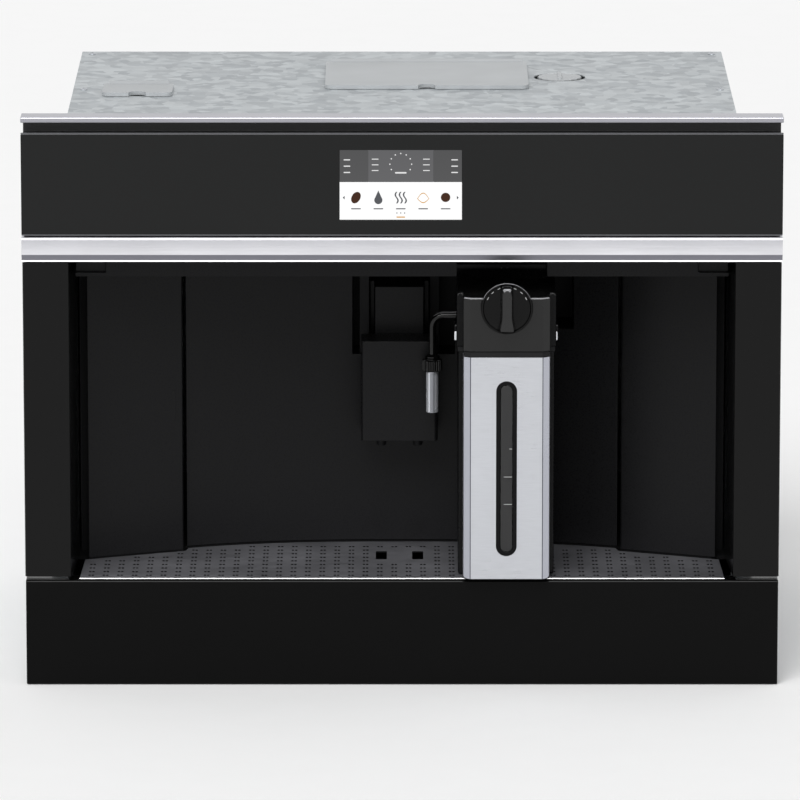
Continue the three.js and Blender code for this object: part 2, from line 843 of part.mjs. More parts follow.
// Black moulded box behind the back panel: the spout moves up and down in its left half,
// and the jug docks on the steam nozzle in its right half.
function recessHousing() {
  const t = recessWall;
  const behind = backThickness + gap;
  const outerFront = backCurve(recessRight + t) + behind;
  const outerDepth = [outerFront, recessDepth + t];
  const outer = joined(
    block([recessLeft - t, recessRight + t], outerDepth, [dockBottom - t, recessTop + t]),
    block([recessLeft - t, dockLeft + t], outerDepth, [recessBottom - t, recessTop]));
  const inner = joined(
    block([recessLeft, recessRight], [0, recessDepth], [dockBottom, recessTop]),
    block([recessLeft, dockLeft], [0, recessDepth], [recessBottom, recessTop]));
  const seam = seamHalfWidth;
  const before = [...curvePoints(-seam, seam, behind), [seam, 0], [-seam, 0]];
  const clearOfPanel = upright(before, [floorTop, ceilingHeight + ceilingThickness + gap]);
  const clearOfRoof = block([recessLeft - t - over, recessRight + t + over], [0, backDepth],
    [ceilingHeight, recessTop + t + over]);
  const nozzleHole = roundY([jugX, jugBottom + nozzleRise], nozzleRadius + gap,
    [recessDepth - over, recessDepth + t + over], 16);
  return joined(cut(outer, inner, clearOfPanel, clearOfRoof, nozzleHole), spoutGuide(-1), spoutGuide(1));
}

// Upright guides of the spout's carriage, moulded with the recess; the left one shows.
function spoutGuide(side) {
  const inner = spoutX + side * (neckWidth / 2 + guideGap);
  const outer = inner + side * guideWidth;
  const front = side < 0 ? backDepth + guideInset : carriageDepth - hiddenGuideFront;
  const xs = [Math.min(inner, outer), Math.max(inner, outer)];
  return block(xs, [front, recessDepth + over], [recessBottom - over, recessTop + over]);
}

function steamNozzle() {
  const at = [jugX, jugBottom + nozzleRise];
  const tip = jugRear - nozzleReach;
  const collar = roundY(at, nozzleCollar, [recessDepth - nozzleCollarLength, recessDepth - gap], 16);
  const stem = roundY(at, nozzleRadius, [tip, recessDepth + nozzleTail], 16);
  const bore = roundY(at, nozzleBore, [tip - over, tip + nozzleBoreDepth], 8);
  return cut(joined(stem, collar), bore);
}

// Outline in plan of a flat side panel, seen on the right side, with both front edges broken.
function sidePanelOutline() {
  const inner = seamHalfWidth + seamGap;
  const edge = panelEdge;
  const back = (x) => sidePanelDepth(x) + sidePanelThickness;
  return [
    [inner, sidePanelDepth(inner) + edge], [inner + edge, sidePanelDepth(inner + edge)],
    [sidePanelOuterX - edge, sidePanelDepth(sidePanelOuterX - edge)],
    [sidePanelOuterX, sidePanelDepth(sidePanelOuterX) + edge], [sidePanelOuterX, back(sidePanelOuterX)],
    [inner, back(inner)],
  ];
}

// The service door hangs on two pins in the ceiling and the floor.
function serviceDoor() {
  const bottom = floorTop + gap;
  const top = ceilingHeight - gap;
  const middle = (bottom + top) / 2;
  const panel = upright(mirrored(sidePanelOutline()), [bottom, top]);
  const reach = gap + doorPinLength;
  const pins = [[top - over, top + reach], [bottom - reach, bottom + over]];
  const catchX = -seamHalfWidth - seamGap - catchInset;
  const catchBack = sidePanelDepth(catchX) + sidePanelThickness;
  const catchPlate = block([catchX, catchX + catchWidth],
    [catchBack - sidePanelThickness / 2, catchBack + catchReach],
    [middle - catchHeight / 2, middle + catchHeight / 2]);
  return joined(panel, catchPlate, ...pins.map((zs) => roundZ(doorAxis, doorPinRadius, zs, doorPinSides)));
}

// ---------------------------------------------------------------- water tank

function tankOutline(wall) {
  const front = (x) => sidePanelDepth(x) + sidePanelThickness + gap + wall;
  return [[tankInner + wall, front(tankInner + wall)], [tankOuter - wall, front(tankOuter - wall)],
    [tankOuter - wall, tankBack - wall], [tankInner + wall, tankBack - wall]];
}

function waterTank() {
  const bottom = floorTop + gap;
  const outside = upright(tankOutline(0), [bottom, tankTop]);
  const inside = upright(tankOutline(tankWall), [bottom + tankWall, tankTop + over]);
  const valve = roundZ([tankMiddle, tankBack - valveInset], valveRadius,
    [bottom - over, bottom + tankWall + over], 16);
  return cut(outside, inside, valve);
}

function tankFront() {
  return upright(sidePanelOutline(), [floorTop + gap, ceilingHeight - gap]);
}

// Valve block that the tank couples to at the back of its bay.
function tankDock() {
  const xs = [tankMiddle - dockHalf, tankMiddle + dockHalf];
  const foot = block(xs, [tankBack + gap, tankBack + dockDepth], [floorTop + gap, floorTop + dockHeight]);
  const spigot = roundX([tankBack + dockDepth / 2, floorTop + dockHeight / 2], spigotRadius,
    [xs[0] - spigotLength, xs[0] + over], 16);
  return joined(foot, spigot);
}

// ---------------------------------------------------------------- drip drawer

function lowerFascia() {
  const half = halfFront - fasciaInset;
  const r = edgeRadius;
  const section = [[0, r], [0.3 * r, 0.3 * r], [r, 0], [fasciaThickness, 0], [fasciaThickness, fasciaHeight],
    [r, fasciaHeight], [0.3 * r, fasciaHeight - 0.3 * r], [0, fasciaHeight - r]];
  return lengthwise(section, [-half, half]);
}

function dripTray() {
  const front = fasciaThickness + gap;
  const top = Math.min(grilleTop - grilleSheet, floorBottom) - gap;
  const half = trayHalfWidth;
  const wall = trayWall;
  const outer = roundedRectangle([-half, half], [front, trayBack], trayCorner);
  const inner = roundedRectangle([-half + wall, half - wall], [front + wall, trayBack - wall],
    trayCorner - wall);
  return cut(upright(outer, [trayBottom, top], 3), upright(inner, [trayBottom + wall, top + over], 3));
}

// Depth of what stands behind the grille, at a distance from the middle.
function wallBehind(x) {
  return Math.abs(x) > seamHalfWidth ? sidePanelDepth(x) : backCurve(x);
}

// Perforated steel grille: rows of slots inside a straight front edge and a curved back edge.
function dripGrille() {
  const seam = seamHalfWidth + seamGap - grilleBackGap;
  const middle = seamHalfWidth - grilleBackGap;
  const seamDepth = sidePanelDepth(seam) - grilleBackGap;
  const endDepth = sidePanelDepth(sidePanelOuterX) - grilleBackGap;
  const outline = [
    [-grilleHalfWidth, grilleFront], [grilleHalfWidth, grilleFront],
    [sidePanelOuterX, endDepth], [seam, seamDepth],
    ...curvePoints(middle, -middle, -grilleBackGap), [-seam, seamDepth], [-sidePanelOuterX, endDepth],
  ];
  const plate = upright(outline, [grilleTop - grilleSheet, grilleTop]);
  const through = [grilleTop - grilleSheet - over, grilleTop + over];
  const drains = [-1, 1].map((side) => {
    const x = spoutX + side * outletSpacing / 2;
    return [[x - drainWidth / 2, x + drainWidth / 2], [drainFront, drainBack], through];
  });
  const columns = Math.floor((grilleHalfWidth - holeMargin) / holePitchX);
  const slots = [];
  for (let column = -columns; column < columns; column += 1) {
    const x = holeCentre + (column + 0.5) * holePitchX;
    const xs = [x - holeLength / 2, x + holeLength / 2];
    const last = wallBehind(Math.abs(x) + holeLength) - grilleBackGap - holeMargin;
    const beside = Math.abs(x - spoutX) < outletSpacing;
    for (let y = holeFirstRow; y < last; y += holePitchY) {
      const byDrains = beside && y > drainFront - holePitchY && y < drainBack + holePitchY;
      if (!byDrains) slots.push([xs, [y - holeWidth / 2, y + holeWidth / 2], through]);
    }
  }
  return cut(plate, blocks([...drains, ...slots]));
}

// ---------------------------------------------------------------- coffee spout

function spoutHood() {
  const xs = [spoutX - spoutWidth / 2, spoutX + spoutWidth / 2];
  const outline = roundedRectangle(xs, [spoutFront, spoutBack], spoutCorner);
  const hood = upright(outline, [spoutBottom, spoutTop], 3);
  const inside = block([xs[0] + spoutWall, xs[1] - spoutWall],
    [spoutFront + spoutWall, spoutBack - spoutWall], [spoutBottom - over, spoutBottom + hoodHollow]);
  return cut(hood, inside);
}

// Neck above the hood, with the carriage plate that runs between the guides.
function spoutNeck() {
  const half = neckWidth / 2;
  const plateHalf = half + guideGap - gap;
  const height = [neckBottom, neckTop];
  const neck = block([spoutX - half, spoutX + half], [spoutBack + gap, carriageDepth + over], height);
  const carriage = block([spoutX - plateHalf, spoutX + plateHalf],
    [carriageDepth, carriageDepth + carriageThickness], height);
  return joined(neck, carriage);
}

// The two coffee outlets, joined by the trough that splits the stream.
function spoutOutlets() {
  const reach = outletSpacing / 2 + troughOverhang;
  const trough = block([spoutX - reach, spoutX + reach],
    [outletDepth - troughHalfDepth, outletDepth + troughHalfDepth],
    [spoutBottom + troughRise, spoutBottom + hoodHollow - gap]);
  const tip = spoutBottom - outletDrop;
  const centres = [-1, 1].map((side) => [spoutX + side * outletSpacing / 2, outletDepth]);
  const height = [tip, spoutBottom + outletShoulder];
  const spouts = centres.map((at) => roundZ(at, outletRadius * outletTaper, height, 16, outletRadius));
  const bores = centres.map((at) => roundZ(at, outletBore, [tip - over, spoutBottom + hoodHollow + over], 8));
  return cut(joined(trough, ...spouts), ...bores);
}

// ---------------------------------------------------------------- milk jug, about its own axis

// Outline in plan of jug and lid: a narrow bevelled front on a wider body.
function jugOutline(inset) {
  const shape = new THREE.Shape();
  const face = jugFaceHalf - inset * faceShare;
  const shoulder = jugShoulderHalf - inset;
  const shoulderY = jugShoulderY + inset * faceShare;
  const step = jugStepY + inset;
  const rear = jugRearHalf - inset;
  const radius = jugRearRadius - inset;
  shape.moveTo(-face, jugFront + inset);
  shape.lineTo(face, jugFront + inset);
  shape.lineTo(shoulder, shoulderY);
  shape.lineTo(shoulder, step);
  shape.lineTo(rear, step);
  shape.absarc(rear - radius, jugRear - inset - radius, radius, 0, Math.PI / 2);
  shape.absarc(-rear + radius, jugRear - inset - radius, radius, Math.PI / 2, Math.PI);
  shape.lineTo(-rear, step);
  shape.lineTo(-shoulder, step);
  shape.lineTo(-shoulder, shoulderY);
  shape.closePath();
  return shape;
}

// Flat outline of the steel sleeve, open at the back: it wraps the jug's narrow front.
function sleeveOutline(inset, back) {
  const face = jugFaceHalf - inset * faceShare;
  const shoulder = jugShoulderHalf - inset;
  const shoulderY = jugShoulderY + inset * faceShare;
  return [[-shoulder, back], [-shoulder, shoulderY], [-face, jugFront + inset], [face, jugFront + inset],
    [shoulder, shoulderY], [shoulder, back]];
}

// The long window down the jug's front, smaller by an inset all round.
function windowOutline(inset) {
  const half = windowHalf - inset;
  return roundedRectangle([-half, half], [windowBottom + inset, windowTop - inset], half - 0.1);
}

function jugContainer() {
  const behindSleeve = sleeveSheet + gap;
  const height = [0, jugHeight];
  const front = upright(sleeveOutline(behindSleeve, jugStepY + frontOverlap), height);
  const body = block([-jugRearHalf, jugRearHalf], [jugStepY, jugRear - jugRearRadius], height);
  const rearOutline = roundedRectangle([-jugRearHalf, jugRearHalf],
    [jugStepY + jugRearRadius + over, jugRear], jugRearRadius);
  const rear = upright(rearOutline, height, 3);
  const inside = upright(jugOutline(behindSleeve + jugWall), [jugWall, jugHeight + over], 3);
  const viewSlot = facing(windowOutline(windowBezel), [jugFront - over, jugShoulderY + 2 * jugWall], 3);
  return cut(joined(front, body, rear), inside, viewSlot);
}

function jugSleeve() {
  const back = jugStepY - gap;
  const outside = upright(sleeveOutline(0, back), [sleeveBottom, jugHeight]);
  const inside = upright(sleeveOutline(sleeveSheet, back + over), [0, jugHeight + over]);
  const slot = facing(windowOutline(0), [jugFront - over, jugFront + sleeveSheet + over], 5);
  const corners = roundedRectangle([-jugShoulderHalf, jugShoulderHalf],
    [sleeveBottom, jugHeight + 2 * sleeveCorner], sleeveCorner);
  return cut(outside, inside, slot).intersect(facing(corners, [jugFront - over, jugStepY + over], 3));
}

// Dark bezel in the sleeve's slot, with a bevel down to the clear strip.
function windowFrame() {
  const depth = [jugFront + bezelInset, jugFront + sleeveSheet + gap - 0.1];
  const outer = facing(windowOutline(gap), depth, 5);
  const hole = facing(windowOutline(windowBezel), [depth[0] - over, depth[1] + over], 3);
  return cut(outer, hole);
}

function windowLens() {
  const front = jugFront + bezelInset;
  return facing(windowOutline(windowBezel + gap), [front, front + lensThickness], 3);
}

function jugSeal() {
  const height = [jugHeight + gap, jugHeight + gap + sealHeight];
  const outside = upright(jugOutline(sleeveSheet), height, 3);
  return cut(outside, upright(jugOutline(sleeveSheet + gap + jugWall), [jugHeight, height[1] + over], 3));
}

function jugLid() {
  const body = upright(jugOutline(0), [lidBottom, lidTop - lidEdge], 3);
  const crown = upright(jugOutline(lidEdge / 2), [lidTop - lidEdge - over, lidTop], 3);
  const skirt = upright(jugOutline(sleeveSheet + 2 * gap + jugWall),
    [lidBottom - lidSkirt, lidBottom + over], 3);
  const shaft = roundY([0, knobZ], knobShaft + gap, [jugFront - over, jugFront + knobShaftLength + gap], 16);
  const socketEnd = jugRear - nozzleReach - socketClearance;
  const socket = roundY([0, nozzleRise], nozzleRadius + gap, [socketEnd, jugRear + over], 16);
  const pocketDepth = buttonThickness - buttonProud + buttonTravel + gap;
  const halfLength = buttonLength / 2 + gap;
  const halfHeight = buttonHeight / 2 + gap;
  const pockets = [-1, 1].map((side) => {
    const ends = [side * (jugRearHalf + over), side * (jugRearHalf - pocketDepth)];
    return block([Math.min(...ends), Math.max(...ends)], [buttonY - halfLength, buttonY + halfLength],
      [buttonRise - halfHeight, buttonRise + halfHeight]);
  });
  const armHole = roundX([armY, armRise], armRadius + gap, [-jugRearHalf - over, -jugRearHalf + armSeat], 12);
  const intakeHole = roundZ([intakeX, intakeY], intakeRadius + gap,
    [lidBottom - lidSkirt - over, lidBottom + intakeSeat], 12);
  return cut(joined(body, crown, skirt), shaft, socket, ...pockets, armHole, intakeHole);
}

// Tube that draws milk from the bottom of the jug, pushed into the lid.
function milkIntake() {
  const centre = [intakeX, intakeY];
  const tube = roundZ(centre, intakeRadius, [intakeBottom, lidBottom + intakeSeat - gap], 12);
  return cut(tube, roundZ(centre, intakeBore, [intakeBottom - over, lidBottom], 8));
}

function frothKnob() {
  const back = jugFront - gap;
  const face = back - knobThickness;
  const rim = roundY([0, knobZ], knobRadius, [face + knobRim, back], 28);
  const dish = roundY([0, knobZ], knobRadius - knobRim, [face, face + 2 * knobRim], 28);
  const shaft = roundY([0, knobZ], knobShaft, [back - over, jugFront + knobShaftLength], 16);
  const reach = knobRadius - 1.5 * knobRim;
  const foot = gripHalf * gripFlare;
  const tip = gripHalf * gripTopShare;
  const grip = [
    [-gripHalf, knobZ + reach * 0.8], [-gripHalf, knobZ - reach * 0.4], [-foot, knobZ - reach * 0.93],
    [foot, knobZ - reach * 0.93], [gripHalf, knobZ - reach * 0.4], [gripHalf, knobZ + reach * 0.8],
    [tip, knobZ + reach * 0.96], [-tip, knobZ + reach * 0.96],
  ];
  return joined(rim, dish, shaft, facing(grip, [face - gripProud, face + over]));
}

// Black elbow from the lid's left side, bent down to the knurled collar that holds the tube.
function milkElbow() {
  const start = new THREE.Vector3(-jugRearHalf + armSeat - gap, armY, armRise);
  const beforeBend = new THREE.Vector3(armX + armBend, armY, armRise);
  const corner = new THREE.Vector3(armX, armY, armRise);
  const afterBend = new THREE.Vector3(armX, armY, armRise - armBend);
  const end = new THREE.Vector3(armX, armY, collarBottom + collarHeight - over);
  const path = new THREE.CurvePath();
  path.add(new THREE.LineCurve3(start, beforeBend));
  path.add(new THREE.QuadraticBezierCurve3(beforeBend, corner, afterBend));
  path.add(new THREE.LineCurve3(afterBend, end));
  const ring = new THREE.Shape();
  ring.absarc(0, 0, armRadius, 0, Math.PI * 2);
  const bend = { steps: 12, extrudePath: path, curveSegments: 5, bevelEnabled: false };
  return joined(solidOf(new THREE.ExtrudeGeometry(ring, bend)), milkCollar());
}

// Outline of a round grip with ribs, about a centre.
function ribbedOutline([x, y], radius, ribs, depth) {
  const outline = [];
  for (let i = 0; i < ribs * 2; i += 1) {
    const angle = Math.PI * i / ribs;
    const reach = radius - (i % 2) * depth;
    outline.push([x + reach * Math.cos(angle), y + reach * Math.sin(angle)]);
  }
  return outline;
}

// Knurled collar with a bore for the milk tube's stem.
function milkCollar() {
  const at = [armX, armY];
  const top = collarBottom + collarHeight;
  const knurl = ribbedOutline(at, collarRadius, collarRibs, collarRibDepth);
  const grip = upright(knurl, [collarBottom, collarBottom + collarHeight * collarGripShare]);
  const neck = roundZ(at, collarRadius * collarNeckFoot, [collarBottom, top], 16,
    collarRadius * collarNeckTop);
  const bore = roundZ(at, milkStemRadius + gap, [collarBottom - over, top - collarRoof], 16);
  return cut(joined(grip, neck), bore);
}

// Chrome tube: its thin stem runs up into the collar, so that it can be pulled down.
function milkTube() {
  const centre = [armX, armY];
  const top = collarBottom + collarHeight;
  const tube = roundZ(centre, milkTubeRadius, [milkTubeBottom, collarBottom - gap], 20);
  const stem = roundZ(centre, milkStemRadius, [collarBottom - milkStemOverlap, top - collarRoof - gap], 16);
  return cut(joined(tube, stem), roundZ(centre, milkTubeBore, [milkTubeBottom - over, top], 12));
}

function releaseButton(side) {
  const outer = jugRearHalf + buttonProud;
  const inner = outer - buttonThickness;
  const pad = roundedRectangle([buttonY - buttonLength / 2, buttonY + buttonLength / 2],
    [buttonRise - buttonHeight / 2, buttonRise + buttonHeight / 2], buttonCorner);
  return lengthwise(pad, side < 0 ? [-outer, -inner] : [inner, outer], 3);
}

// ---------------------------------------------------------------- body

// Base plate with the two guides that the drip drawer slides on.
function basePan() {
  const half = halfBody - sheet - gap;
  const plate = block([-half, half], [bodyStart, innerBack], [bodyBottom, bodyBottom + panThickness]);
  const guides = [-1, 1].map((side) => {
    const x = side * drawerGuideX;
    return block([x - drawerGuideWidth / 2, x + drawerGuideWidth / 2],
      [bodyStart, trayBack + drawerGuideReach], [bodyBottom + panThickness - over, trayBottom - gap]);
  });
  return joined(plate, ...guides);
}

// Floor over the drawer: its front edge follows the back of the cavity.
function innerFloor() {
  const half = halfBody - sheet - gap;
  const corner = sidePanelOuterX - 4;
  const seam = seamHalfWidth + seamGap;
  const edge = [
    [-half, wallDepth + 2], [-corner, sidePanelDepth(corner)], [-seam, sidePanelDepth(seam)],
    ...curvePoints(-seamHalfWidth, seamHalfWidth, 0), [seam, sidePanelDepth(seam)],
    [corner, sidePanelDepth(corner)], [half, wallDepth + 2],
  ].map(([x, y]) => [x, y + floorAhead]);
  const plate = upright([...edge, [half, innerBack], [-half, innerBack]], [floorBottom, floorTop]);
  const through = [floorBottom - over, floorTop + over];
  const pin = roundZ(doorAxis, doorPinRadius + gap, through, doorPinSides);
  const port = drainPortHalf;
  const drain = block([drainPortX - port, drainPortX + port],
    [drainPortY - port, drainPortY + port], through);
  return joined(cut(plate, pin, drain), partition(-1), partition(1));
}

// Upright flange of the inner floor beside the tank's bay or the brew unit's.
function partition(side) {
  const x = side * (seamHalfWidth - partitionInset);
  const xs = [x, x - side * partitionThickness].sort((a, b) => a - b);
  const front = backCurve(x) + hemDepth + partitionInset;
  return block(xs, [front, innerBack], [floorBottom, partitionTop]);
}

function sidePanel(side) {
  const xs = [side * halfBody, side * (halfBody - sheet)].sort((a, b) => a - b);
  return block(xs, [bodyStart, innerBack], [bodyBottom, bodyTop - sheet - gap]);
}

function topCover() {
  const plate = block([-halfBody, halfBody], [bodyStart, innerBack], [bodyTop - sheet, bodyTop]);
  const through = [bodyTop - sheet - over, bodyTop + over];
  const hopper = block([grinderX - hopperHalfX, grinderX + hopperHalfX],
    [grinderY - hopperHalfY, grinderY + hopperHalfY], through);
  const chute = block([brewMiddle - chuteHalfX, brewMiddle + chuteHalfX],
    [chuteY - chuteHalfY, chuteY + chuteHalfY], through);
  const well = roundZ([grindKnobX, grinderY], knobWellRadius, through, 24);
  return cut(plate, hopper, chute, well);
}

function rearCover() {
  const plate = block([-halfBody, halfBody], [bodyBack - sheet, bodyBack], [bodyBottom, bodyTop]);
  const through = [bodyBack - sheet - over, bodyBack + over];
  const slots = [];
  for (let row = 0; row < louvreCount; row += 1) {
    const z = louvreBottom + row * louvrePitch;
    slots.push([[-louvreWidth, -louvreMiddle], through, [z, z + louvreHeight]]);
    slots.push([[louvreMiddle, louvreWidth], through, [z, z + louvreHeight]]);
  }
  const window = (x, width, height) => [[x - width / 2 - gap, x + width / 2 + gap], through,
    [inletZ - height / 2 - gap, inletZ + height / 2 + gap]];
  const inlet = window(inletX, inletWidth, inletHeight);
  const switchWindow = window(switchX, switchWidth, switchHeight);
  return cut(plate, blocks([...slots, inlet, switchWindow]));
}

// A frame set into the rear cover from behind: body, flange round the window, and its hollow.
function inset(x, width, height, depth, wall, flange, proud) {
  const span = (grow) => [[x - width / 2 - grow, x + width / 2 + grow],
    [inletZ - height / 2 - grow, inletZ + height / 2 + grow]];
  const back = bodyBack + proud;
  const [xs, zs] = span(0);
  const [flangeXs, flangeZs] = span(flange);
  const [hollowXs, hollowZs] = span(-wall);
  const body = block(xs, [bodyBack - depth, back], zs);
  const rim = block(flangeXs, [bodyBack + gap, back], flangeZs);
  return cut(joined(body, rim), block(hollowXs, [bodyBack - depth + wall, back + over], hollowZs));
}

// Three-pin appliance inlet, open to the back, moulded in one with the rocker's housing.
function mainsInlet() {
  const socket = inset(inletX, inletWidth, inletHeight, inletDepth, inletWall, inletFlange, inletProud);
  const housing = inset(switchX, switchWidth, switchHeight, switchDepth, switchWall, switchWall, switchProud);
  const bridge = block([inletX + inletWidth / 2 + over, switchX - switchWidth / 2 - over],
    [bodyBack + gap, bodyBack + inletProud - bridgeStep], [inletZ - bridgeHalf, inletZ + bridgeHalf]);
  const keepOpen = block([inletX - inletWidth / 2 + inletWall, inletX + inletWidth / 2 - inletWall],
    [bodyBack, bodyBack + inletProud + over], [inletZ - bridgeHalf, inletZ + bridgeHalf]);
  const pins = [-1, 0, 1].map((i) => {
    const x = inletX + i * pinSpacing;
    const z = inletZ - pinDrop + (i === 0 ? earthRise : 0);
    return block([x - pinSize / 2, x + pinSize / 2],
      [bodyBack - inletDepth + inletWall - over, bodyBack - pinInset], [z - pinSize, z + pinSize]);
  });
  return joined(cut(joined(socket, bridge), keepOpen), ...pins, housing);
}

// Rocker: a shallow V that tilts about a level axis.
function rocker() {
  const half = switchHeight / 2 - switchWall - rockerSlack;
  const width = switchWidth / 2 - switchWall - gap;
  const base = bodyBack - rockerAxis - rockerBase;
  const section = [
    [base, inletZ - half * rockerFoot], [bodyBack + rockerProud, inletZ - half],
    [bodyBack + rockerMiddle, inletZ], [bodyBack + rockerLow, inletZ + half],
    [base, inletZ + half * rockerFoot],
  ];
  return lengthwise(section, [switchX - width, switchX + width]);
}

// ---------------------------------------------------------------- mechanism

// Open frame of the brew unit, with the fixed piston under its roof.
function brewFrame() {
  const xs = [brewLeft, brewRight];
  const cheek = brewCheek;
  const body = block(xs, [brewFront, brewBack], [brewBottom, brewTop]);
  const window = block([xs[0] + cheek, xs[1] - cheek], [brewFront - over, brewBack - cheek],
    [brewBottom + brewFloor, brewTop - cheek]);
  const pistonFoot = brewTop - cheek - pistonLength;
  const piston = roundZ([brewMiddle, chamberY], pistonRadius, [pistonFoot, brewTop - over], 20);
  const pipe = roundY([brewMiddle, brewTop - pipeInset], pipeRadius,
    [brewBack - over, brewBack + pipeLength], 12);
  const leg = block([xs[0], xs[0] + cheek], [brewFront, brewBack], [floorTop + gap, brewBottom + over]);
  const screwHole = roundZ([brewMiddle, screwY], screwRadius + gap, [brewBottom - over, brewTop + over], 16);
  const powderHole = powderPath([brewTop - cheek - over, brewTop + over]);
  return cut(joined(cut(body, window), piston, pipe, leg), screwHole, powderHole);
}

// The square way that ground coffee falls through, between two heights.
function powderPath(zs) {
  const half = chuteThroat - hopperWall;
  return block([brewMiddle - half, brewMiddle + half], [chuteY - half, chuteY + half], zs);
}

// Moving chamber, carried by a nut on the lead screw.
function brewChamber() {
  const bottom = chamberBottom;
  const top = chamberBottom + chamberHeight;
  const cup = roundZ([brewMiddle, chamberY], chamberRadius, [bottom, top], 24);
  const arm = block([brewMiddle - carrierHalf, brewMiddle + carrierHalf],
    [chamberY + (chamberRadius + chamberBore) / 2, screwY], [bottom, bottom + carrierHeight]);
  const nut = roundZ([brewMiddle, screwY], nutRadius, [bottom, bottom + nutHeight], 16);
  const bore = roundZ([brewMiddle, chamberY], chamberBore, [bottom + chamberFloor, top + over], 24);
  const thread = roundZ([brewMiddle, screwY], screwRadius + gap,
    [bottom - over, bottom + nutHeight + over], 16);
  return cut(joined(cup, arm, nut), bore, thread);
}

// Lead screw with the toothed wheel that the brew motor drives.
function brewScrew() {
  const top = brewBottom - gap;
  const corners = gearTeeth * 4;
  const outline = [];
  for (let i = 0; i < corners; i += 1) {
    const angle = 2 * Math.PI * (i + 0.5) / corners;
    const radius = gearRadius - (i % 4 < 2 ? 0 : gearToothDepth);
    outline.push([brewMiddle + radius * Math.cos(angle), screwY + radius * Math.sin(angle)]);
  }
  const wheel = upright(outline, [top - gearThickness, top]);
  const shaft = roundZ([brewMiddle, screwY], screwRadius, [top - over, brewTop + screwTail], 16);
  return joined(wheel, shaft);
}

function groundsBox() {
  const wall = groundsWall;
  const xs = [brewLeft + brewCheek + gap, brewRight];
  const bottom = floorTop + gap;
  const box = block(xs, [groundsFront, groundsBack], [bottom, groundsTop]);
  const inside = block([xs[0] + wall, xs[1] - wall], [groundsFront + wall, groundsBack - wall],
    [bottom + wall, groundsTop + over]);
  return cut(box, inside);
}

// Conical-burr grinder in its round housing, with a motor below.
function grinder() {
  const at = [grinderX, grinderY];
  const knobAt = [grindKnobX, grinderY];
  const housing = roundZ(at, grinderRadius, [grinderBottom, grinderTop], 24);
  const collar = roundZ(at, grinderRadius * collarShare, [grinderTop - over, grinderTop + grinderCollar], 24);
  const motor = roundZ(at, grinderRadius * motorShare, [floorTop + gap, grinderBottom + over], 20);
  const side = grinderX - grinderRadius;
  const outletBottom = grinderBottom + outletRise;
  const outlet = block([side - outletReach, side + postRadius],
    [grinderY - outletHalf, grinderY + outletHalf], [outletBottom, outletBottom + outletHeight]);
  const arm = block([grinderX, grindKnobX + postRadius], [grinderY - postRadius, grinderY + postRadius],
    [grinderTop - armHeight, grinderTop - gap]);
  const post = roundZ(knobAt, postRadius, [grinderTop - armHeight / 2, grindKnobBottom - gap], 16);
  const throat = roundZ(at, hopperThroat * throatShare,
    [grinderTop - throatDepth, grinderTop + grinderCollar + over], 16);
  const stemHole = roundZ(knobAt, grindStemRadius + gap, [grinderTop, bodyTop], 12);
  return cut(joined(housing, collar, motor, outlet, arm, post), throat, stemHole);
}

// A rectangular funnel under an opening of the top cover, with a flange round its mouth.
function coverFunnel(centre, [halfX, halfY], throat, bottom, flange) {
  const top = bodyTop - sheet - gap;
  const wall = hopperWall;
  const rimX = halfX + flange;
  const rimY = halfY + flange;
  const bowl = funnel(centre, [halfX - gap, halfY - gap], [throat, throat], [bottom, top]);
  const inside = funnel(centre, [halfX - gap - wall, halfY - gap - wall], [throat - wall, throat - wall],
    [bottom - 0.01, top + 0.01]);
  const rim = block([centre[0] - rimX, centre[0] + rimX], [centre[1] - rimY, centre[1] + rimY],
    [top - flangeThickness, top]);
  return cut(joined(bowl, rim), inside);
}

function beanHopper() {
  const bottom = grinderTop + grinderCollar + gap;
  return coverFunnel([grinderX, grinderY], [hopperHalfX, hopperHalfY], hopperThroat, bottom, hopperFlange);
}

// Funnel and pipe for ground coffee, down to the hole in the brew unit's roof.
function powderChute() {
  const centre = [brewMiddle, chuteY];
  const bowl = coverFunnel(centre, [chuteHalfX, chuteHalfY], chuteThroat, chuteBottom, chuteFlange);
  const pipe = block([brewMiddle - chuteThroat, brewMiddle + chuteThroat],
    [chuteY - chuteThroat, chuteY + chuteThroat], [brewTop + gap, chuteBottom + over]);
  return joined(bowl, cut(pipe, powderPath([brewTop, chuteBottom + 2 * over])));
}

// A lid hinged on its back edge, with a thumb notch at the front.
function hopperLid([x, y], [halfX, halfY]) {
  const bottom = bodyTop + gap;
  const top = bottom + lidThickness;
  const back = y + halfY + lidOverlap;
  const front = y - halfY - lidOverlap;
  const xs = [x - halfX - lidOverlap, x + halfX + lidOverlap];
  const plate = upright(roundedRectangle(xs, [front, back], lidCorner), [bottom, top], 3);
  const barrel = roundX([back, bottom + lidHingeRadius], lidHingeRadius, [x - halfX, x + halfX], 12);
  const thumb = roundZ([x, front], thumbRadius, [bottom - over, top + over], 16);
  return cut(joined(plate, barrel), thumb);
}

function grindKnob() {
  const at = [grindKnobX, grinderY];
  const top = bodyTop + grindKnobProud;
  const drum = upright(ribbedOutline(at, grindKnobRadius, grindKnobRibs, grindRibDepth),
    [grindKnobBottom, top - pointerProud]);
  const reach = grindKnobRadius - pointerInset;
  const pointer = block([grindKnobX - pointerHalf, grindKnobX + pointerHalf],
    [grinderY - reach, grinderY + reach], [top - pointerProud - over, top]);
  const stem = roundZ(at, grindStemRadius, [grinderTop + gap, grindKnobBottom + over], 12);
  return joined(drum, pointer, stem);
}

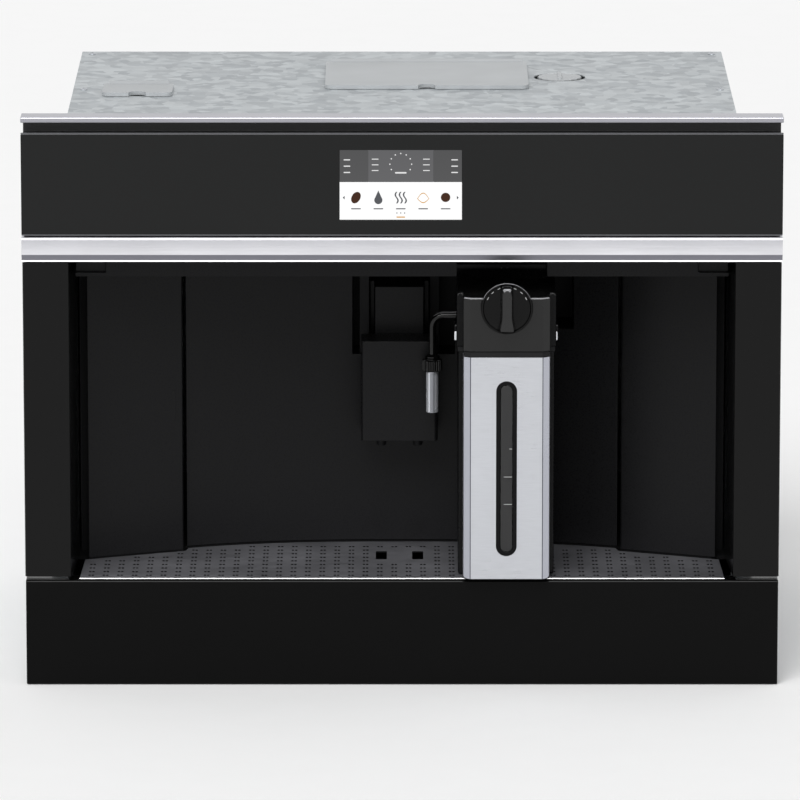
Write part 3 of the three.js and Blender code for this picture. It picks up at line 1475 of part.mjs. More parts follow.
function boiler() {
  const at = [boilerX, boilerY];
  const top = boilerBottom + boilerHeight;
  const barrel = roundZ(at, boilerRadius, [boilerBottom, top], 20);
  const flanges = [boilerBottom, top - boilerFlangeHeight].map((z) => roundZ(at, boilerFlange,
    [z, z + boilerFlangeHeight], 20));
  const legs = [-1, 1].map((side) => {
    const x = boilerX + side * boilerLegX;
    return block([x - boilerLegHalf, x + boilerLegHalf], [boilerY - boilerLegDepth, boilerY + boilerLegDepth],
      [floorTop + gap, boilerBottom + over]);
  });
  const outlet = roundZ(at, boilerOutletRadius, [top - over, top + boilerOutletHeight], 12);
  return joined(barrel, ...flanges, ...legs, outlet);
}

function pump() {
  const at = [pumpX, pumpAxisHeight];
  const ys = [pumpY - pumpLength / 2, pumpY + pumpLength / 2];
  const coil = roundY(at, pumpRadius, [ys[0] + pumpNose, ys[1] - pumpTail], 20);
  const stem = roundY(at, pumpStemRadius, ys, 12);
  const foot = block([pumpX - pumpFootHalfX, pumpX + pumpFootHalfX],
    [pumpY - pumpFootHalfY, pumpY + pumpFootHalfY],
    [floorTop + gap, pumpAxisHeight - pumpRadius * pumpFootShare]);
  return joined(coil, stem, foot);
}

// ---------------------------------------------------------------- telescopic runners

// One channel of a runner, seen on the right. The cabinet's (level 0) and the middle one
// (level 1) are open towards the machine and lie inside each other; the machine's own
// (level 2) is a closed box section against the side of the machine.
function runnerChannel(side, level) {
  const closed = level === 2;
  const shrink = level * (runnerSheet + gap);
  const zs = [runnerBottom + shrink, runnerBottom + runnerHeight - shrink];
  const outer = runnerOuterFace - shrink;
  const inner = halfBody + gap + (closed ? 0 : runnerClearance);
  const ys = [runnerFront, runnerFront + runnerLength];
  const hollowStart = closed ? inner + runnerSheet : inner - over;
  const hollow = block([hollowStart, outer - runnerSheet], [ys[0] - over, ys[1] + over],
    [zs[0] + runnerSheet, zs[1] - runnerSheet]);
  return onSide(cut(block([inner, outer], ys, zs), hollow), side);
}

// A solid drawn on the right, or its mirror image on the left.
function onSide(solid, side) {
  return side > 0 ? solid : solid.mirror([1, 0, 0]);
}

// ---------------------------------------------------------------- assembly

const appliance = new THREE.Group();
const machine = new THREE.Group();
const drawer = new THREE.Group();
const tank = new THREE.Group();
const spout = new THREE.Group();
const jug = new THREE.Group();
appliance.add(machine);
machine.add(drawer, tank, spout, jug);
jug.position.set(jugX, 0, jugBottom);

const sides = [[-1, 'left'], [1, 'right']];

for (const [side, name] of sides) {
  part(appliance, `runner_outer_${name}`, runnerChannel(side, 0), zincSheet);
  part(appliance, `runner_middle_${name}`, runnerChannel(side, 1), zincSheet);
  part(machine, `runner_inner_${name}`, runnerChannel(side, 2), zincSheet);
  part(machine, `side_cover_${name}`, sidePanel(side), zincSheet);
  part(machine, `side_frame_${name}`, sideFrame(side), blackPlastic);
}

part(machine, 'top_trim', topTrim(), anodised);
part(machine, 'control_housing', controlHousing(), mattBlack);
part(machine, 'control_glass', controlGlass(), blackGlass);
part(machine, 'display_screen', displayScreen(), screenGlass);
part(machine, 'control_board', controlBoard(), boardGreen);
part(machine, 'silver_bar', silverBar(), anodised);
part(machine, 'cavity_ceiling', cavityCeiling(), blackPlastic);
part(machine, 'back_panel', backPanel(), blackPlastic);
part(machine, 'recess_housing', recessHousing(), mattBlack);
part(machine, 'steam_nozzle', steamNozzle(), chrome);
part(machine, 'service_door', serviceDoor(), blackPlastic);

part(machine, 'base_pan', basePan(), zincSheet);
part(machine, 'inner_floor', innerFloor(), zincSheet);
part(machine, 'top_cover', topCover(), zincSheet);
part(machine, 'rear_cover', rearCover(), zincSheet);
part(machine, 'mains_inlet', mainsInlet(), mattBlack);
part(machine, 'power_rocker', rocker(), blackPlastic);

part(machine, 'brew_frame', brewFrame(), greyPlastic);
part(machine, 'brew_chamber', brewChamber(), greyPlastic);
part(machine, 'brew_screw', brewScrew(), brushedSteel);
part(machine, 'grounds_box', groundsBox(), greyPlastic);
part(machine, 'grinder', grinder(), greyPlastic);
part(machine, 'bean_hopper', beanHopper(), clearPlastic);
part(machine, 'bean_lid', hopperLid([grinderX, grinderY], [hopperHalfX, hopperHalfY]), greyPlastic);
part(machine, 'powder_chute', powderChute(), greyPlastic);
part(machine, 'powder_lid', hopperLid([brewMiddle, chuteY], [chuteHalfX, chuteHalfY]), greyPlastic);
part(machine, 'grind_knob', grindKnob(), greyPlastic);
part(machine, 'boiler', boiler(), brass);
part(machine, 'pump', pump(), zincSheet);

part(tank, 'water_tank', waterTank(), clearPlastic);
part(tank, 'tank_front', tankFront(), blackPlastic);
part(machine, 'tank_dock', tankDock(), greyPlastic);

part(drawer, 'lower_fascia', lowerFascia(), blackPlastic);
part(drawer, 'drip_tray', dripTray(), mattBlack);
part(drawer, 'drip_grille', dripGrille(), grilleSteel);

part(spout, 'spout_hood', spoutHood(), blackPlastic);
part(spout, 'spout_neck', spoutNeck(), blackPlastic);
part(spout, 'spout_outlets', spoutOutlets(), mattBlack);

part(jug, 'jug_container', jugContainer(), blackPlastic);
part(jug, 'jug_sleeve', jugSleeve(), brushedSteel);
part(jug, 'window_frame', windowFrame(), blackPlastic);
part(jug, 'window_lens', windowLens(), clearPlastic);
part(jug, 'jug_seal', jugSeal(), mattBlack);
part(jug, 'jug_lid', jugLid(), blackPlastic);
part(jug, 'froth_knob', frothKnob(), blackPlastic);
part(jug, 'milk_intake', milkIntake(), clearPlastic);
part(jug, 'milk_elbow', milkElbow(), blackPlastic);
part(jug, 'milk_tube', milkTube(), chrome);
part(jug, 'release_button_left', releaseButton(-1), blackPlastic);
part(jug, 'release_button_right', releaseButton(1), blackPlastic);

// The origin is the middle of the footprint, below the middle of the front's width.
const bounds = new THREE.Box3().setFromObject(appliance);
appliance.position.y = -(bounds.min.y + bounds.max.y) / 2;

export default appliance;
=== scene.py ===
# %% [markdown]
# # A built-in coffee machine, dressed in Blender
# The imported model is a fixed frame: every solid already has its real size and place. This lesson
# gives each of them its finish, and rebuilds the pieces whose fine shape matters to the eye.

# %% Load the frame
import json
from math import cos, pi, radians, sin, tan

import bmesh
import bpy
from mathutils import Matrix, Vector

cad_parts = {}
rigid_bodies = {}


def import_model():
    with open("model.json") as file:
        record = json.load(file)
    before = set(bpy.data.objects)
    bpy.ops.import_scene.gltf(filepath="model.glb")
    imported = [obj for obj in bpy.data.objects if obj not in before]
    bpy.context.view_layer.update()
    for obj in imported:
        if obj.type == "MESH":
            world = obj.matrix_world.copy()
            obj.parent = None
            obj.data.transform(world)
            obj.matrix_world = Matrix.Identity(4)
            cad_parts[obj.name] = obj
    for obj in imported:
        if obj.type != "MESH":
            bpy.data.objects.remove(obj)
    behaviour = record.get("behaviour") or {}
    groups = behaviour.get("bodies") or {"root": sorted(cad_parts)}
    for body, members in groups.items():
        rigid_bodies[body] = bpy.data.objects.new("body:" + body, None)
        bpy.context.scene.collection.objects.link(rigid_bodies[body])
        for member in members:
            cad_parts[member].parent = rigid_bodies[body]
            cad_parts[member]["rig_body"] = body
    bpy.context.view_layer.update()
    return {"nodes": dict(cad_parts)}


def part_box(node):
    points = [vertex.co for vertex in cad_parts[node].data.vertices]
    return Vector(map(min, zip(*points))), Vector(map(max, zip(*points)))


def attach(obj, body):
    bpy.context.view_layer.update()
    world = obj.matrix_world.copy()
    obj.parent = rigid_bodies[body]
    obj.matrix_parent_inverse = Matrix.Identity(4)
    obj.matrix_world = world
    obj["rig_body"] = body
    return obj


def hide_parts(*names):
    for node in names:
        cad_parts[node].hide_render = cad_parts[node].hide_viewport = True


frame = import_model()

print("nodes in the frame:", len(frame["nodes"]))

# %% [markdown]
# Everything below is given in millimetres, measured from the machine's front plane, the way a
# drawing would. One function turns such a point into Blender's metres.

# %% Places
MM = 0.001
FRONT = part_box("control_glass")[0].y


def at(x, y, z):
    """A point in mm, with y measured back from the front plane, in metres."""
    return Vector((x * MM, y * MM + FRONT, z * MM))


def box_mm(node):
    """A node's lowest and highest corner in the same millimetres."""
    return [((corner - Vector((0, FRONT, 0))) / MM)[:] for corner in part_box(node)]


print("front plane at y =", round(FRONT, 5))

# %% [markdown]
# ## The camera
# The photograph was taken from far away with a long lens, a little above the machine. The camera
# stands six metres away at the same slope, so the sides of the cavity close in by the same amount.

# %% Camera
LENS = 351.47
STAND = Vector((-0.0016, -6.18335, 1.4919))
AIM = Vector((-0.0016, -0.18335, 0.23006))

scene = bpy.context.scene
camera = bpy.data.objects.new("camera", bpy.data.cameras.new("camera"))
camera.data.lens = LENS
camera.data.sensor_width = 36
camera.data.clip_end = 60
camera.location = STAND
camera.rotation_euler = (AIM - STAND).to_track_quat("-Z", "Y").to_euler()
scene.collection.objects.link(camera)
scene.camera = camera
print("camera slope in degrees:", round(90 - camera.rotation_euler.x * 180 / pi, 2))

# %% [markdown]
# ## Small helpers for shapes
# Most parts of an appliance are an outline pushed along one axis, or a profile turned round an
# axis. Both are the same thing to a mesh: a stack of rings joined by side faces, with a lid on
# either end. So one function lofts rings, and the others only make outlines for it.

# %% Lofts and outlines
PLACES = {
    "x": lambda u, v, w: at(w, u, v),
    "y": lambda u, v, w: at(u, w, v),
    "z": lambda u, v, w: at(u, v, w),
}
MERGE = 1e-6


def loft(rings, axis):
    """A closed mesh through rings of (outline, place along the axis)."""
    mesh = bmesh.new()
    loops = [[mesh.verts.new(PLACES[axis](u, v, w)) for u, v in outline] for outline, w in rings]
    mesh.faces.new(loops[0])
    mesh.faces.new(loops[-1])
    count = len(loops[0])
    for low, high in zip(loops, loops[1:]):
        for i in range(count):
            j = (i + 1) % count
            mesh.faces.new((low[i], low[j], high[j], high[i]))
    bmesh.ops.remove_doubles(mesh, verts=mesh.verts, dist=MERGE)
    bmesh.ops.recalc_face_normals(mesh, faces=mesh.faces)
    return mesh


def prism(outline, axis, span):
    """An outline pushed from one place to another along an axis."""
    return loft([(outline, place) for place in span], axis)


def ring(u, v, radius, sides=64, start=0.0):
    """A round outline."""
    turns = [start + 2 * pi * i / sides for i in range(sides)]
    return [(u + radius * cos(a), v + radius * sin(a)) for a in turns]


def turned(centre, profile, axis, sides=64):
    """A profile of (radius, place along the axis), turned round that axis."""
    return loft([(ring(*centre, radius, sides), place) for radius, place in profile], axis)


def filleted(corners, steps=6):
    """An outline whose corners, given as (u, v, radius), are rounded by arcs."""
    outline = []
    for i, (u, v, radius) in enumerate(corners):
        corner = Vector((u, v))
        if not radius:
            outline.append((u, v))
            continue
        before = (Vector(corners[i - 1][:2]) - corner).normalized()
        after = (Vector(corners[(i + 1) % len(corners)][:2]) - corner).normalized()
        half = before.angle(after) / 2
        centre = corner + (before + after).normalized() * radius / sin(half)
        first = corner + before * radius / tan(half) - centre
        sweep = first.angle_signed(corner + after * radius / tan(half) - centre)
        for k in range(steps + 1):
            turn = -sweep * k / steps
            outline.append((centre.x + first.x * cos(turn) - first.y * sin(turn),
                            centre.y + first.x * sin(turn) + first.y * cos(turn)))
    return outline


def rounded(us, vs, radius, steps=6):
    """A rectangle with round corners."""
    corners = [(us[0], vs[0]), (us[1], vs[0]), (us[1], vs[1]), (us[0], vs[1])]
    return filleted([(u, v, radius) for u, v in corners], steps)


def mirrored(right):
    """The left half of a list of corners, as the mirror image of its right half."""
    return [(-u, v, radius) for u, v, radius in reversed(right)]


test = rounded((0, 10), (0, 6), 2)
print("rounded rectangle:", len(test), "points, widest", round(max(u for u, v in test), 3), "mm")

# %% [markdown]
# A real edge is never perfectly sharp. A mould, a press or a file leaves a small radius, and that
# radius is what catches a line of light. So most pieces get their edges rolled by a bevel of a
# stated width. Booleans cut the holes, and flat faces keep their flat shading by weighted normals.

# %% Pieces
ROLL_ANGLE = radians(24)
made = []


def settle(piece):
    """Applies a piece's modifiers to its mesh."""
    graph = bpy.context.evaluated_depsgraph_get()
    settled = bpy.data.meshes.new_from_object(piece.evaluated_get(graph))
    piece.modifiers.clear()
    piece.data = settled
    return piece


def solid(name, mesh):
    """An object from a bmesh."""
    data = bpy.data.meshes.new(name)
    mesh.to_mesh(data)
    mesh.free()
    piece = bpy.data.objects.new(name, data)
    scene.collection.objects.link(piece)
    return piece


def combine(meshes):
    """Several bmeshes as one."""
    whole = bmesh.new()
    for mesh in meshes:
        data = bpy.data.meshes.new("part")
        mesh.to_mesh(data)
        mesh.free()
        whole.from_mesh(data)
        bpy.data.meshes.remove(data)
    return whole


def cut(piece, *tools, operation="DIFFERENCE"):
    """Takes tools, or joins them, with an exact boolean."""
    for tool in tools:
        tool = solid("tool", tool)
        change = piece.modifiers.new("cut", "BOOLEAN")
        change.operation = operation
        change.solver = "MANIFOLD"
        change.object = tool
        settle(piece)
        bpy.data.objects.remove(tool)
    return piece


def rolled(piece, width, segments=3):
    """Rolls the edges by a width in mm and smooths what is round."""
    if width:
        roll = piece.modifiers.new("roll", "BEVEL")
        roll.width = width * MM
        roll.segments = segments
        roll.limit_method = "ANGLE"
        roll.angle_limit = ROLL_ANGLE
        roll.miter_outer = "MITER_ARC"
        settle(piece)
    piece.data.shade_smooth()
    piece.data.set_sharp_from_angle(angle=radians(32))
    weigh = piece.modifiers.new("weigh", "WEIGHTED_NORMAL")
    weigh.keep_sharp = True
    return settle(piece)


def place(piece, finish, node, stands=True):
    """Gives a piece its finish, and lets it ride where a node rides."""
    piece.data.materials.clear()
    piece.data.materials.append(finish)
    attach(piece, frame["nodes"][node]["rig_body"])
    if stands:
        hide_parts(node)
    made.append(piece.name)
    return piece


def touch(piece, finish, chosen):
    """Gives another finish to the faces that a test picks."""
    piece.data.materials.append(finish)
    for face in piece.data.polygons:
        if chosen(face):
            face.material_index = len(piece.data.materials) - 1


# %% [markdown]
# ## Small helpers for finishes
# Colours are written as a paint shop would, in sRGB hex, and one function makes them linear. One
# more function adds a shader node with its settings and links.

# %% Colour and nodes
def linear(code):
    """An sRGB hex colour as linear RGBA."""
    parts = [int(code[i:i + 2], 16) / 255 for i in (1, 3, 5)]
    return [p / 12.92 if p <= 0.04045 else ((p + 0.055) / 1.055) ** 2.4 for p in parts] + [1.0]


def add(tree, kind, inputs, **settings):
    """Adds one node: its settings, then each input as a value or as another node's output."""
    node = tree.nodes.new(kind)
    for name, value in settings.items():
        setattr(node, name, value)
    for name, value in inputs.items():
        socket = next(s for s in node.inputs if s.enabled and name in (s.identifier, s.name))
        if isinstance(value, bpy.types.Node):
            value = next(s for s in value.outputs if s.enabled)
        if isinstance(value, bpy.types.NodeSocket):
            tree.links.new(value, socket)
        else:
            socket.default_value = value
    return node


def per(size):
    """How often a pattern of a size in mm repeats in a metre."""
    return 1 / (size * MM)


def start(name, colour, roughness, **constants):
    """A new finish: its node tree, its surface and the place of a point on the piece."""
    finish = bpy.data.materials.new(name)
    finish.use_nodes = True
    tree = finish.node_tree
    surface = tree.nodes["Principled BSDF"]
    constants |= {"Base Color": linear(colour), "Roughness": roughness}
    for socket, value in constants.items():
        surface.inputs[socket.replace("_", " ")].default_value = value
    spot = add(tree, "ShaderNodeTexCoord", {}).outputs["Object"]
    return finish, tree, surface, spot


def feed(tree, surface, **outputs):
    """Links nodes to the surface's sockets."""
    for socket, source in outputs.items():
        output = next(s for s in source.outputs if s.enabled)
        tree.links.new(output, surface.inputs[socket.replace("_", " ")])


def noise(tree, spot, size, detail):
    """Noise of a size in mm."""
    return add(tree, "ShaderNodeTexNoise", {
        "Vector": spot, "Scale": per(size), "Detail": detail})


def mix(tree, factor, low, high):
    """A colour between two others, by a factor."""
    return add(tree, "ShaderNodeMix", {"Factor": factor, "A": low, "B": high}, data_type="RGBA")


def ranged(tree, value, span, result):
    """A value carried over from one range to another."""
    return add(tree, "ShaderNodeMapRange", {
        "Value": value, "From Min": span[0], "From Max": span[1],
        "To Min": result[0], "To Max": result[1]})


print("mid grey in linear light:", round(linear("#808080")[0], 4))

# %% [markdown]
# ## Black mouldings
# The frames, the bottom panel and the cavity are **injection-moulded ABS from a polished tool**:
# deep black, glossy, and very slightly wavy where the plastic shrank while it cooled. The photo was
# lit so that hardly anything mirrors in them, so the specular level is far under that of bare ABS.

# %% Polished and spark-eroded ABS
def polished_abs(name, colour, level, roughness):
    """Glossy moulded ABS: a sink wave of some 30 mm and dust of about a millimetre."""
    finish, tree, surface, spot = start(name, colour, roughness, IOR=1.53, Specular_IOR_Level=level)
    sink = noise(tree, spot, 30, 1.0)
    dust = noise(tree, spot, 1.2, 3.0)
    gloss = ranged(tree, dust, (0.35, 0.75), (roughness * 0.85, roughness * 1.5))
    wave = add(tree, "ShaderNodeBump", {"Height": sink, "Strength": 0.25, "Distance": 0.05 * MM})
    feed(tree, surface, Roughness=gloss, Normal=wave)
    return finish


def eroded_abs(name, colour, level, roughness, pit=0.9):
    """Matt moulded ABS: the tool was spark-eroded, which leaves a fine even grain of pits."""
    finish, tree, surface, spot = start(name, colour, roughness, IOR=1.53, Specular_IOR_Level=level)
    pits = noise(tree, spot, pit, 2.0)
    tone = noise(tree, spot, 45, 2.0)
    shade = [channel * 1.25 for channel in linear(colour)[:3]] + [1.0]
    mixed = mix(tree, tone, linear(colour), shade)
    grain = add(tree, "ShaderNodeBump", {"Height": pits, "Strength": 0.35, "Distance": 0.06 * MM})
    feed(tree, surface, Base_Color=mixed, Normal=grain)
    return finish


# Some finishes below are painted light: tones for a few faces that the photograph shows lighter
# or darker. They lie on the piece like paint, and don't follow the lamps. Painted highlights lie
# along the lid's front edge, the knob's rim and grip, the elbow's arm and the control glass's
# edges; each release button has a painted glint. Painted shade lies on the silver bar's top and
# lower bevel, the sleeve's facets and bends, the lid's rear part and the walls of the grille's
# holes, and a painted reflection on the milk tube's front. The control housing is a lighter copy
# of the matt ABS, as painted light in its shaded groove.
frame_abs = polished_abs("frame_abs", "#0e0e0e", 0.14, 0.16)
drawer_abs = polished_abs("drawer_abs", "#080808", 0.075, 0.16)
cavity_abs = polished_abs("cavity_abs", "#161617", 0.11, 0.28)
matt_abs = eroded_abs("eroded_abs", "#141415", 0.12, 0.55)
body_abs = polished_abs("jug_body_abs", "#060607", 0.12, 0.22)
lid_abs = polished_abs("jug_lid_abs", "#0b0b0b", 0.36, 0.2)
arm_abs = polished_abs("milk_arm_abs", "#070707", 0.3, 0.14)
grip_abs = polished_abs("knob_grip_abs", "#161616", 0.4, 0.2)
dish_abs = polished_abs("knob_dish_abs", "#050505", 0.15, 0.12)
# A light grey for painted highlights on the tops of rolled edges.
painted_highlight = polished_abs("painted_edge_highlight", "#8f8f92", 0.5, 0.1)
# Painted light: the housing is a lighter copy of the matt ABS, so its shaded groove reads lighter.
housing_painted_light = eroded_abs("housing_painted_light", "#222223", 0.3, 0.5)
powder_coat = eroded_abs("black_powder_coat", "#0b0b0c", 0.1, 0.7)
silicone = eroded_abs("silicone", "#101011", 0.2, 0.7, pit=1.4)
print("black mouldings ready")

# %% [markdown]
# ## Glass and display
# The control panel is **float glass printed black on its back**, so its colour lies under a deep
# polished layer. The display behind it shines by itself, so it is lit by emission.

# %% Printed glass and screen
def printed_glass():
    """Float glass over black print: even, mirror smooth, with a trace of green in the print."""
    finish, tree, surface, spot = start(
        "printed_glass", "#0c0c0c", 0.06, IOR=1.52, Specular_IOR_Level=0.25)
    print_tone = noise(tree, spot, 160, 1.0)
    mixed = mix(tree, print_tone, linear("#0b0c0c"), linear("#101111"))
    feed(tree, surface, Base_Color=mixed)
    return finish


def lit_screen(name, dim, bright, strength=1.0):
    """A backlit layer: the lamps along its lower edge leave it a little brighter there."""
    finish, tree, surface, spot = start(
        name, "#050505", 0.08, IOR=1.5, Emission_Strength=strength, Specular_IOR_Level=0.1)
    parts = add(tree, "ShaderNodeSeparateXYZ", {"Vector": spot})
    low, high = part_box("display_screen")
    rise = ranged(tree, parts.outputs["Z"], (low.z, high.z), (0.0, 1.0))
    mixed = mix(tree, rise, linear(bright), linear(dim))
    feed(tree, surface, Emission_Color=mixed)
    return finish


black_glass = printed_glass()
screen_edge = lit_screen("screen_edge", "#525253", "#5a5a5b")
screen_grey = lit_screen("screen_grey", "#616163", "#686869")
screen_white = lit_screen("screen_white", "#fbfbfb", "#ffffff", 1.02)
mark_white = lit_screen("mark_white", "#e2e2e2", "#f2f2f2")
mark_brown = lit_screen("mark_brown", "#3b2417", "#45291a")
mark_grey = lit_screen("mark_grey", "#505256", "#5a5c60")
mark_amber = lit_screen("mark_amber", "#c9922e", "#d69c34")
print("screen colours ready")

# %% [markdown]
# ## Metals
# Brushing leaves fine parallel scratches, which stretch every highlight across them. Real
# scratches are about 0.05 mm apart, too fine for this picture, so they are drawn a little under a
# millimetre apart, and they change the roughness and the tone only slightly.

# %% Brushed metals
def brushed(name, colour, roughness, along, across, axis="X", tone=0.06, depth=0.02, painted_shade=None):
    """Brushed metal: scratches so long along an axis and so far apart across it, in mm.

    A painted shade (low, high, colour) tints the metal towards a colour between two heights in mm.
    """
    finish, tree, surface, spot = start(name, colour, roughness, Metallic=1.0)
    stretch = [per(along) if axis == letter else per(across) for letter in "XYZ"]
    aligned = add(tree, "ShaderNodeMapping", {"Vector": spot, "Scale": stretch})
    lines = add(tree, "ShaderNodeTexNoise", {"Vector": aligned, "Scale": 1.0, "Detail": 4.0})
    cloud = noise(tree, spot, 60, 2.0)
    dark = [channel * (1 - 2 * tone) for channel in linear(colour)[:3]] + [1.0]
    mixed = mix(tree, lines, dark, linear(colour))
    blend = add(tree, "ShaderNodeMix", {"Factor": 0.4, "A": lines, "B": cloud}, data_type="FLOAT")
    gloss = ranged(tree, blend, (0.3, 0.7), (roughness * 0.8, roughness * 1.35))
    scratch = add(tree, "ShaderNodeBump", {
        "Height": lines, "Strength": 0.3, "Distance": depth * MM})
    if painted_shade:
        low, high, shade = painted_shade
        parts = add(tree, "ShaderNodeSeparateXYZ", {"Vector": spot})
        rise = add(tree, "ShaderNodeMapRange", {
            "Value": parts.outputs["Z"], "From Min": low * MM, "From Max": high * MM})
        mixed = mix(tree, rise, mixed, linear(shade))
    feed(tree, surface, Base_Color=mixed, Roughness=gloss, Normal=scratch)
    return finish


# Painted shade: the bar is painted darker towards its top, and its lower bevel darker still.
aluminium_and_painted_shade = brushed("anodised_aluminium_and_painted_shade", "#dadade", 0.34, 40, 0.8, tone=0.02, depth=0.004,
                          painted_shade=(348, 359, "#c6c6cb"))
bevel_painted_shade = brushed("bar_bevel_painted_shade", "#86868e", 0.3, 40, 0.8, tone=0.02, depth=0.004)
trim_aluminium = brushed("trim_aluminium", "#a6a6ad", 0.30, 40, 0.8, tone=0.03, depth=0.004)
sleeve_steel = brushed("brushed_stainless", "#d0d2d7", 0.32, 12, 0.7, tone=0.07, depth=0.012)
# Painted shade: the sleeve's slanted facets are a little darker, its bends much darker.
facet_painted_shade = brushed("sleeve_facet_painted_shade", "#bcbec7", 0.3, 12, 0.7, tone=0.05, depth=0.01)
bend_painted_shade = brushed("sleeve_bend_painted_shade", "#4e4f5a", 0.3, 12, 0.7, tone=0.05, depth=0.01)
grille_steel = brushed("grille_stainless", "#949499", 0.5, 18, 0.9, tone=0.1, depth=0.01)
hem_steel = brushed("polished_hem", "#f2f2f4", 0.2, 30, 0.9, tone=0.01, depth=0.0005)
print("brushed metals ready")

# %% [markdown]
# The milk tube is **chrome-plated**, a mirror with a faint blue cast. The covers behind the front
# are **galvanised sheet**: zinc grows in flat crystals of about a centimetre, the spangle, each
# with its own shade. Screws are zinc-plated, and the boiler is turned brass.

# %% Plated and galvanised metals
def plain_metal(name, colour, roughness, speck, tone, metallic=1.0):
    """Cast, turned or plated metal, with specks of a size in mm in tone and gloss."""
    finish, tree, surface, spot = start(name, colour, roughness, Metallic=metallic)
    specks = noise(tree, spot, speck, 3.0)
    dark = [channel * (1 - tone) for channel in linear(colour)[:3]] + [1.0]
    mixed = mix(tree, specks, dark, linear(colour))
    gloss = ranged(tree, specks, (0.3, 0.7), (roughness * 0.7, roughness * 1.3))
    feed(tree, surface, Base_Color=mixed, Roughness=gloss)
    return finish


def galvanised():
    """Hot-dip galvanised sheet: spangle crystals 9 mm wide, each with its own tone and gloss."""
    finish, tree, surface, spot = start("galvanised_sheet", "#a7abad", 0.42, Metallic=1.0)
    bent = noise(tree, spot, 14, 2.0)
    shifted = add(tree, "ShaderNodeMix", {
        "Factor": 0.006, "A": spot, "B": bent.outputs["Color"]}, data_type="VECTOR")
    crystals = add(tree, "ShaderNodeTexVoronoi", {"Vector": shifted, "Scale": per(9)})
    shade = add(tree, "ShaderNodeSeparateXYZ", {"Vector": crystals.outputs["Color"]})
    mixed = mix(tree, shade, linear("#979b9e"), linear("#b2b6b8"))
    gloss = add(tree, "ShaderNodeMapRange", {
        "Value": shade.outputs["Y"], "To Min": 0.52, "To Max": 0.66})
    feed(tree, surface, Base_Color=mixed, Roughness=gloss)
    return finish


chrome = plain_metal("satin_chrome_plate", "#e6e8ec", 0.22, 3, 0.03)
tube_plate = plain_metal("tube_plate", "#d8dbe1", 0.3, 40, 0.02, metallic=0.55)
# Painted reflection: the front of the milk tube takes a darker tone.
tube_painted_reflection = plain_metal("tube_plate_painted_reflection", "#8e9096", 0.3, 40, 0.02, metallic=0.55)
zinc = plain_metal("zinc_plate", "#b9bcc0", 0.28, 1.5, 0.12)
brass = plain_metal("turned_brass", "#b98f4e", 0.30, 4, 0.18)
galvanised_sheet = galvanised()
print("plated metals ready")

# %% [markdown]
# ## What is inside
# The brew unit slides in **acetal**, a self-lubricating grey plastic with a waxy gloss. Tank,
# hopper and jug window are **clear SAN**, and the board is glass-fibre laminate under green
# solder mask, with copper tracks 2.5 mm apart showing through.

# %% Acetal, clear SAN and circuit board
def acetal():
    """Moulded grey acetal: waxy, with a faint flow mottle."""
    finish, tree, surface, spot = start(
        "moulded_acetal", "#6f7377", 0.38, IOR=1.48, Specular_IOR_Level=0.4)
    flow = noise(tree, spot, 22, 4.0)
    mixed = mix(tree, flow, linear("#64686c"), linear("#7a7e82"))
    grain = noise(tree, spot, 1.0, 1.0)
    relief = add(tree, "ShaderNodeBump", {"Height": grain, "Strength": 0.2, "Distance": 0.03 * MM})
    feed(tree, surface, Base_Color=mixed, Normal=relief)
    return finish


def clear_san(name, colour, roughness):
    """Clear moulded SAN: water-clear with a grey cast and slow ripples from the tool."""
    finish, tree, surface, spot = start(
        name, colour, roughness, IOR=1.57, Transmission_Weight=1.0)
    ripple = noise(tree, spot, 25, 1.0)
    wave = add(tree, "ShaderNodeBump", {"Height": ripple, "Strength": 0.2, "Distance": 0.1 * MM})
    feed(tree, surface, Normal=wave)
    return finish


def solder_mask():
    """Green solder mask over copper tracks on a 2.5 mm grid."""
    finish, tree, surface, spot = start(
        "solder_mask", "#1d5a37", 0.3, IOR=1.5, Specular_IOR_Level=0.45)
    tracks = add(tree, "ShaderNodeTexBrick", {
        "Vector": spot, "Scale": per(2.5) / 4, "Color1": linear("#1d5a37"),
        "Color2": linear("#226941"), "Mortar": linear("#123f27"), "Mortar Size": 0.03})
    feed(tree, surface, Base_Color=tracks)
    return finish


grey_acetal = acetal()
lid_grey = eroded_abs("lid_grey_abs", "#a3a6a8", 0.4, 0.5)
clear_plastic = clear_san("clear_san", "#f2f4f4", 0.03)
board_mask = solder_mask()
print("inner finishes ready")

# %% [markdown]
# ## Solids that keep their shape
# Most of the solids already have the real outline. What they lack is the rolled edge. Each is
# copied, its coplanar triangles are dissolved into whole faces, its edges are rolled by the
# radius that such a part has, and the copy stands for the solid. A face that doesn't come through
# this whole sends the copy back to be rolled on the solid's own triangles. The test for it is
# strict, and also catches some sound pieces.

# %% Roll the edges of the solids
def from_frame(node, whole=True):
    """A copy of a solid's mesh, with its coplanar triangles dissolved into whole faces."""
    mesh = bmesh.new()
    mesh.from_mesh(frame["nodes"][node].data)
    bmesh.ops.remove_doubles(mesh, verts=mesh.verts, dist=MERGE)
    if whole:
        bmesh.ops.dissolve_limit(mesh, angle_limit=radians(0.3), verts=mesh.verts,
                                 edges=mesh.edges)
    bmesh.ops.recalc_face_normals(mesh, faces=mesh.faces)
    return mesh


def torn(piece):
    """Whether a face is split into triangles that cover more or less than the face itself."""
    data = piece.data
    data.calc_loop_triangles()
    covered = [0.0] * len(data.polygons)
    for triangle in data.loop_triangles:
        covered[triangle.polygon_index] += triangle.area
    return any(abs(face.area - covered[face.index]) > TORN_AREA for face in data.polygons)


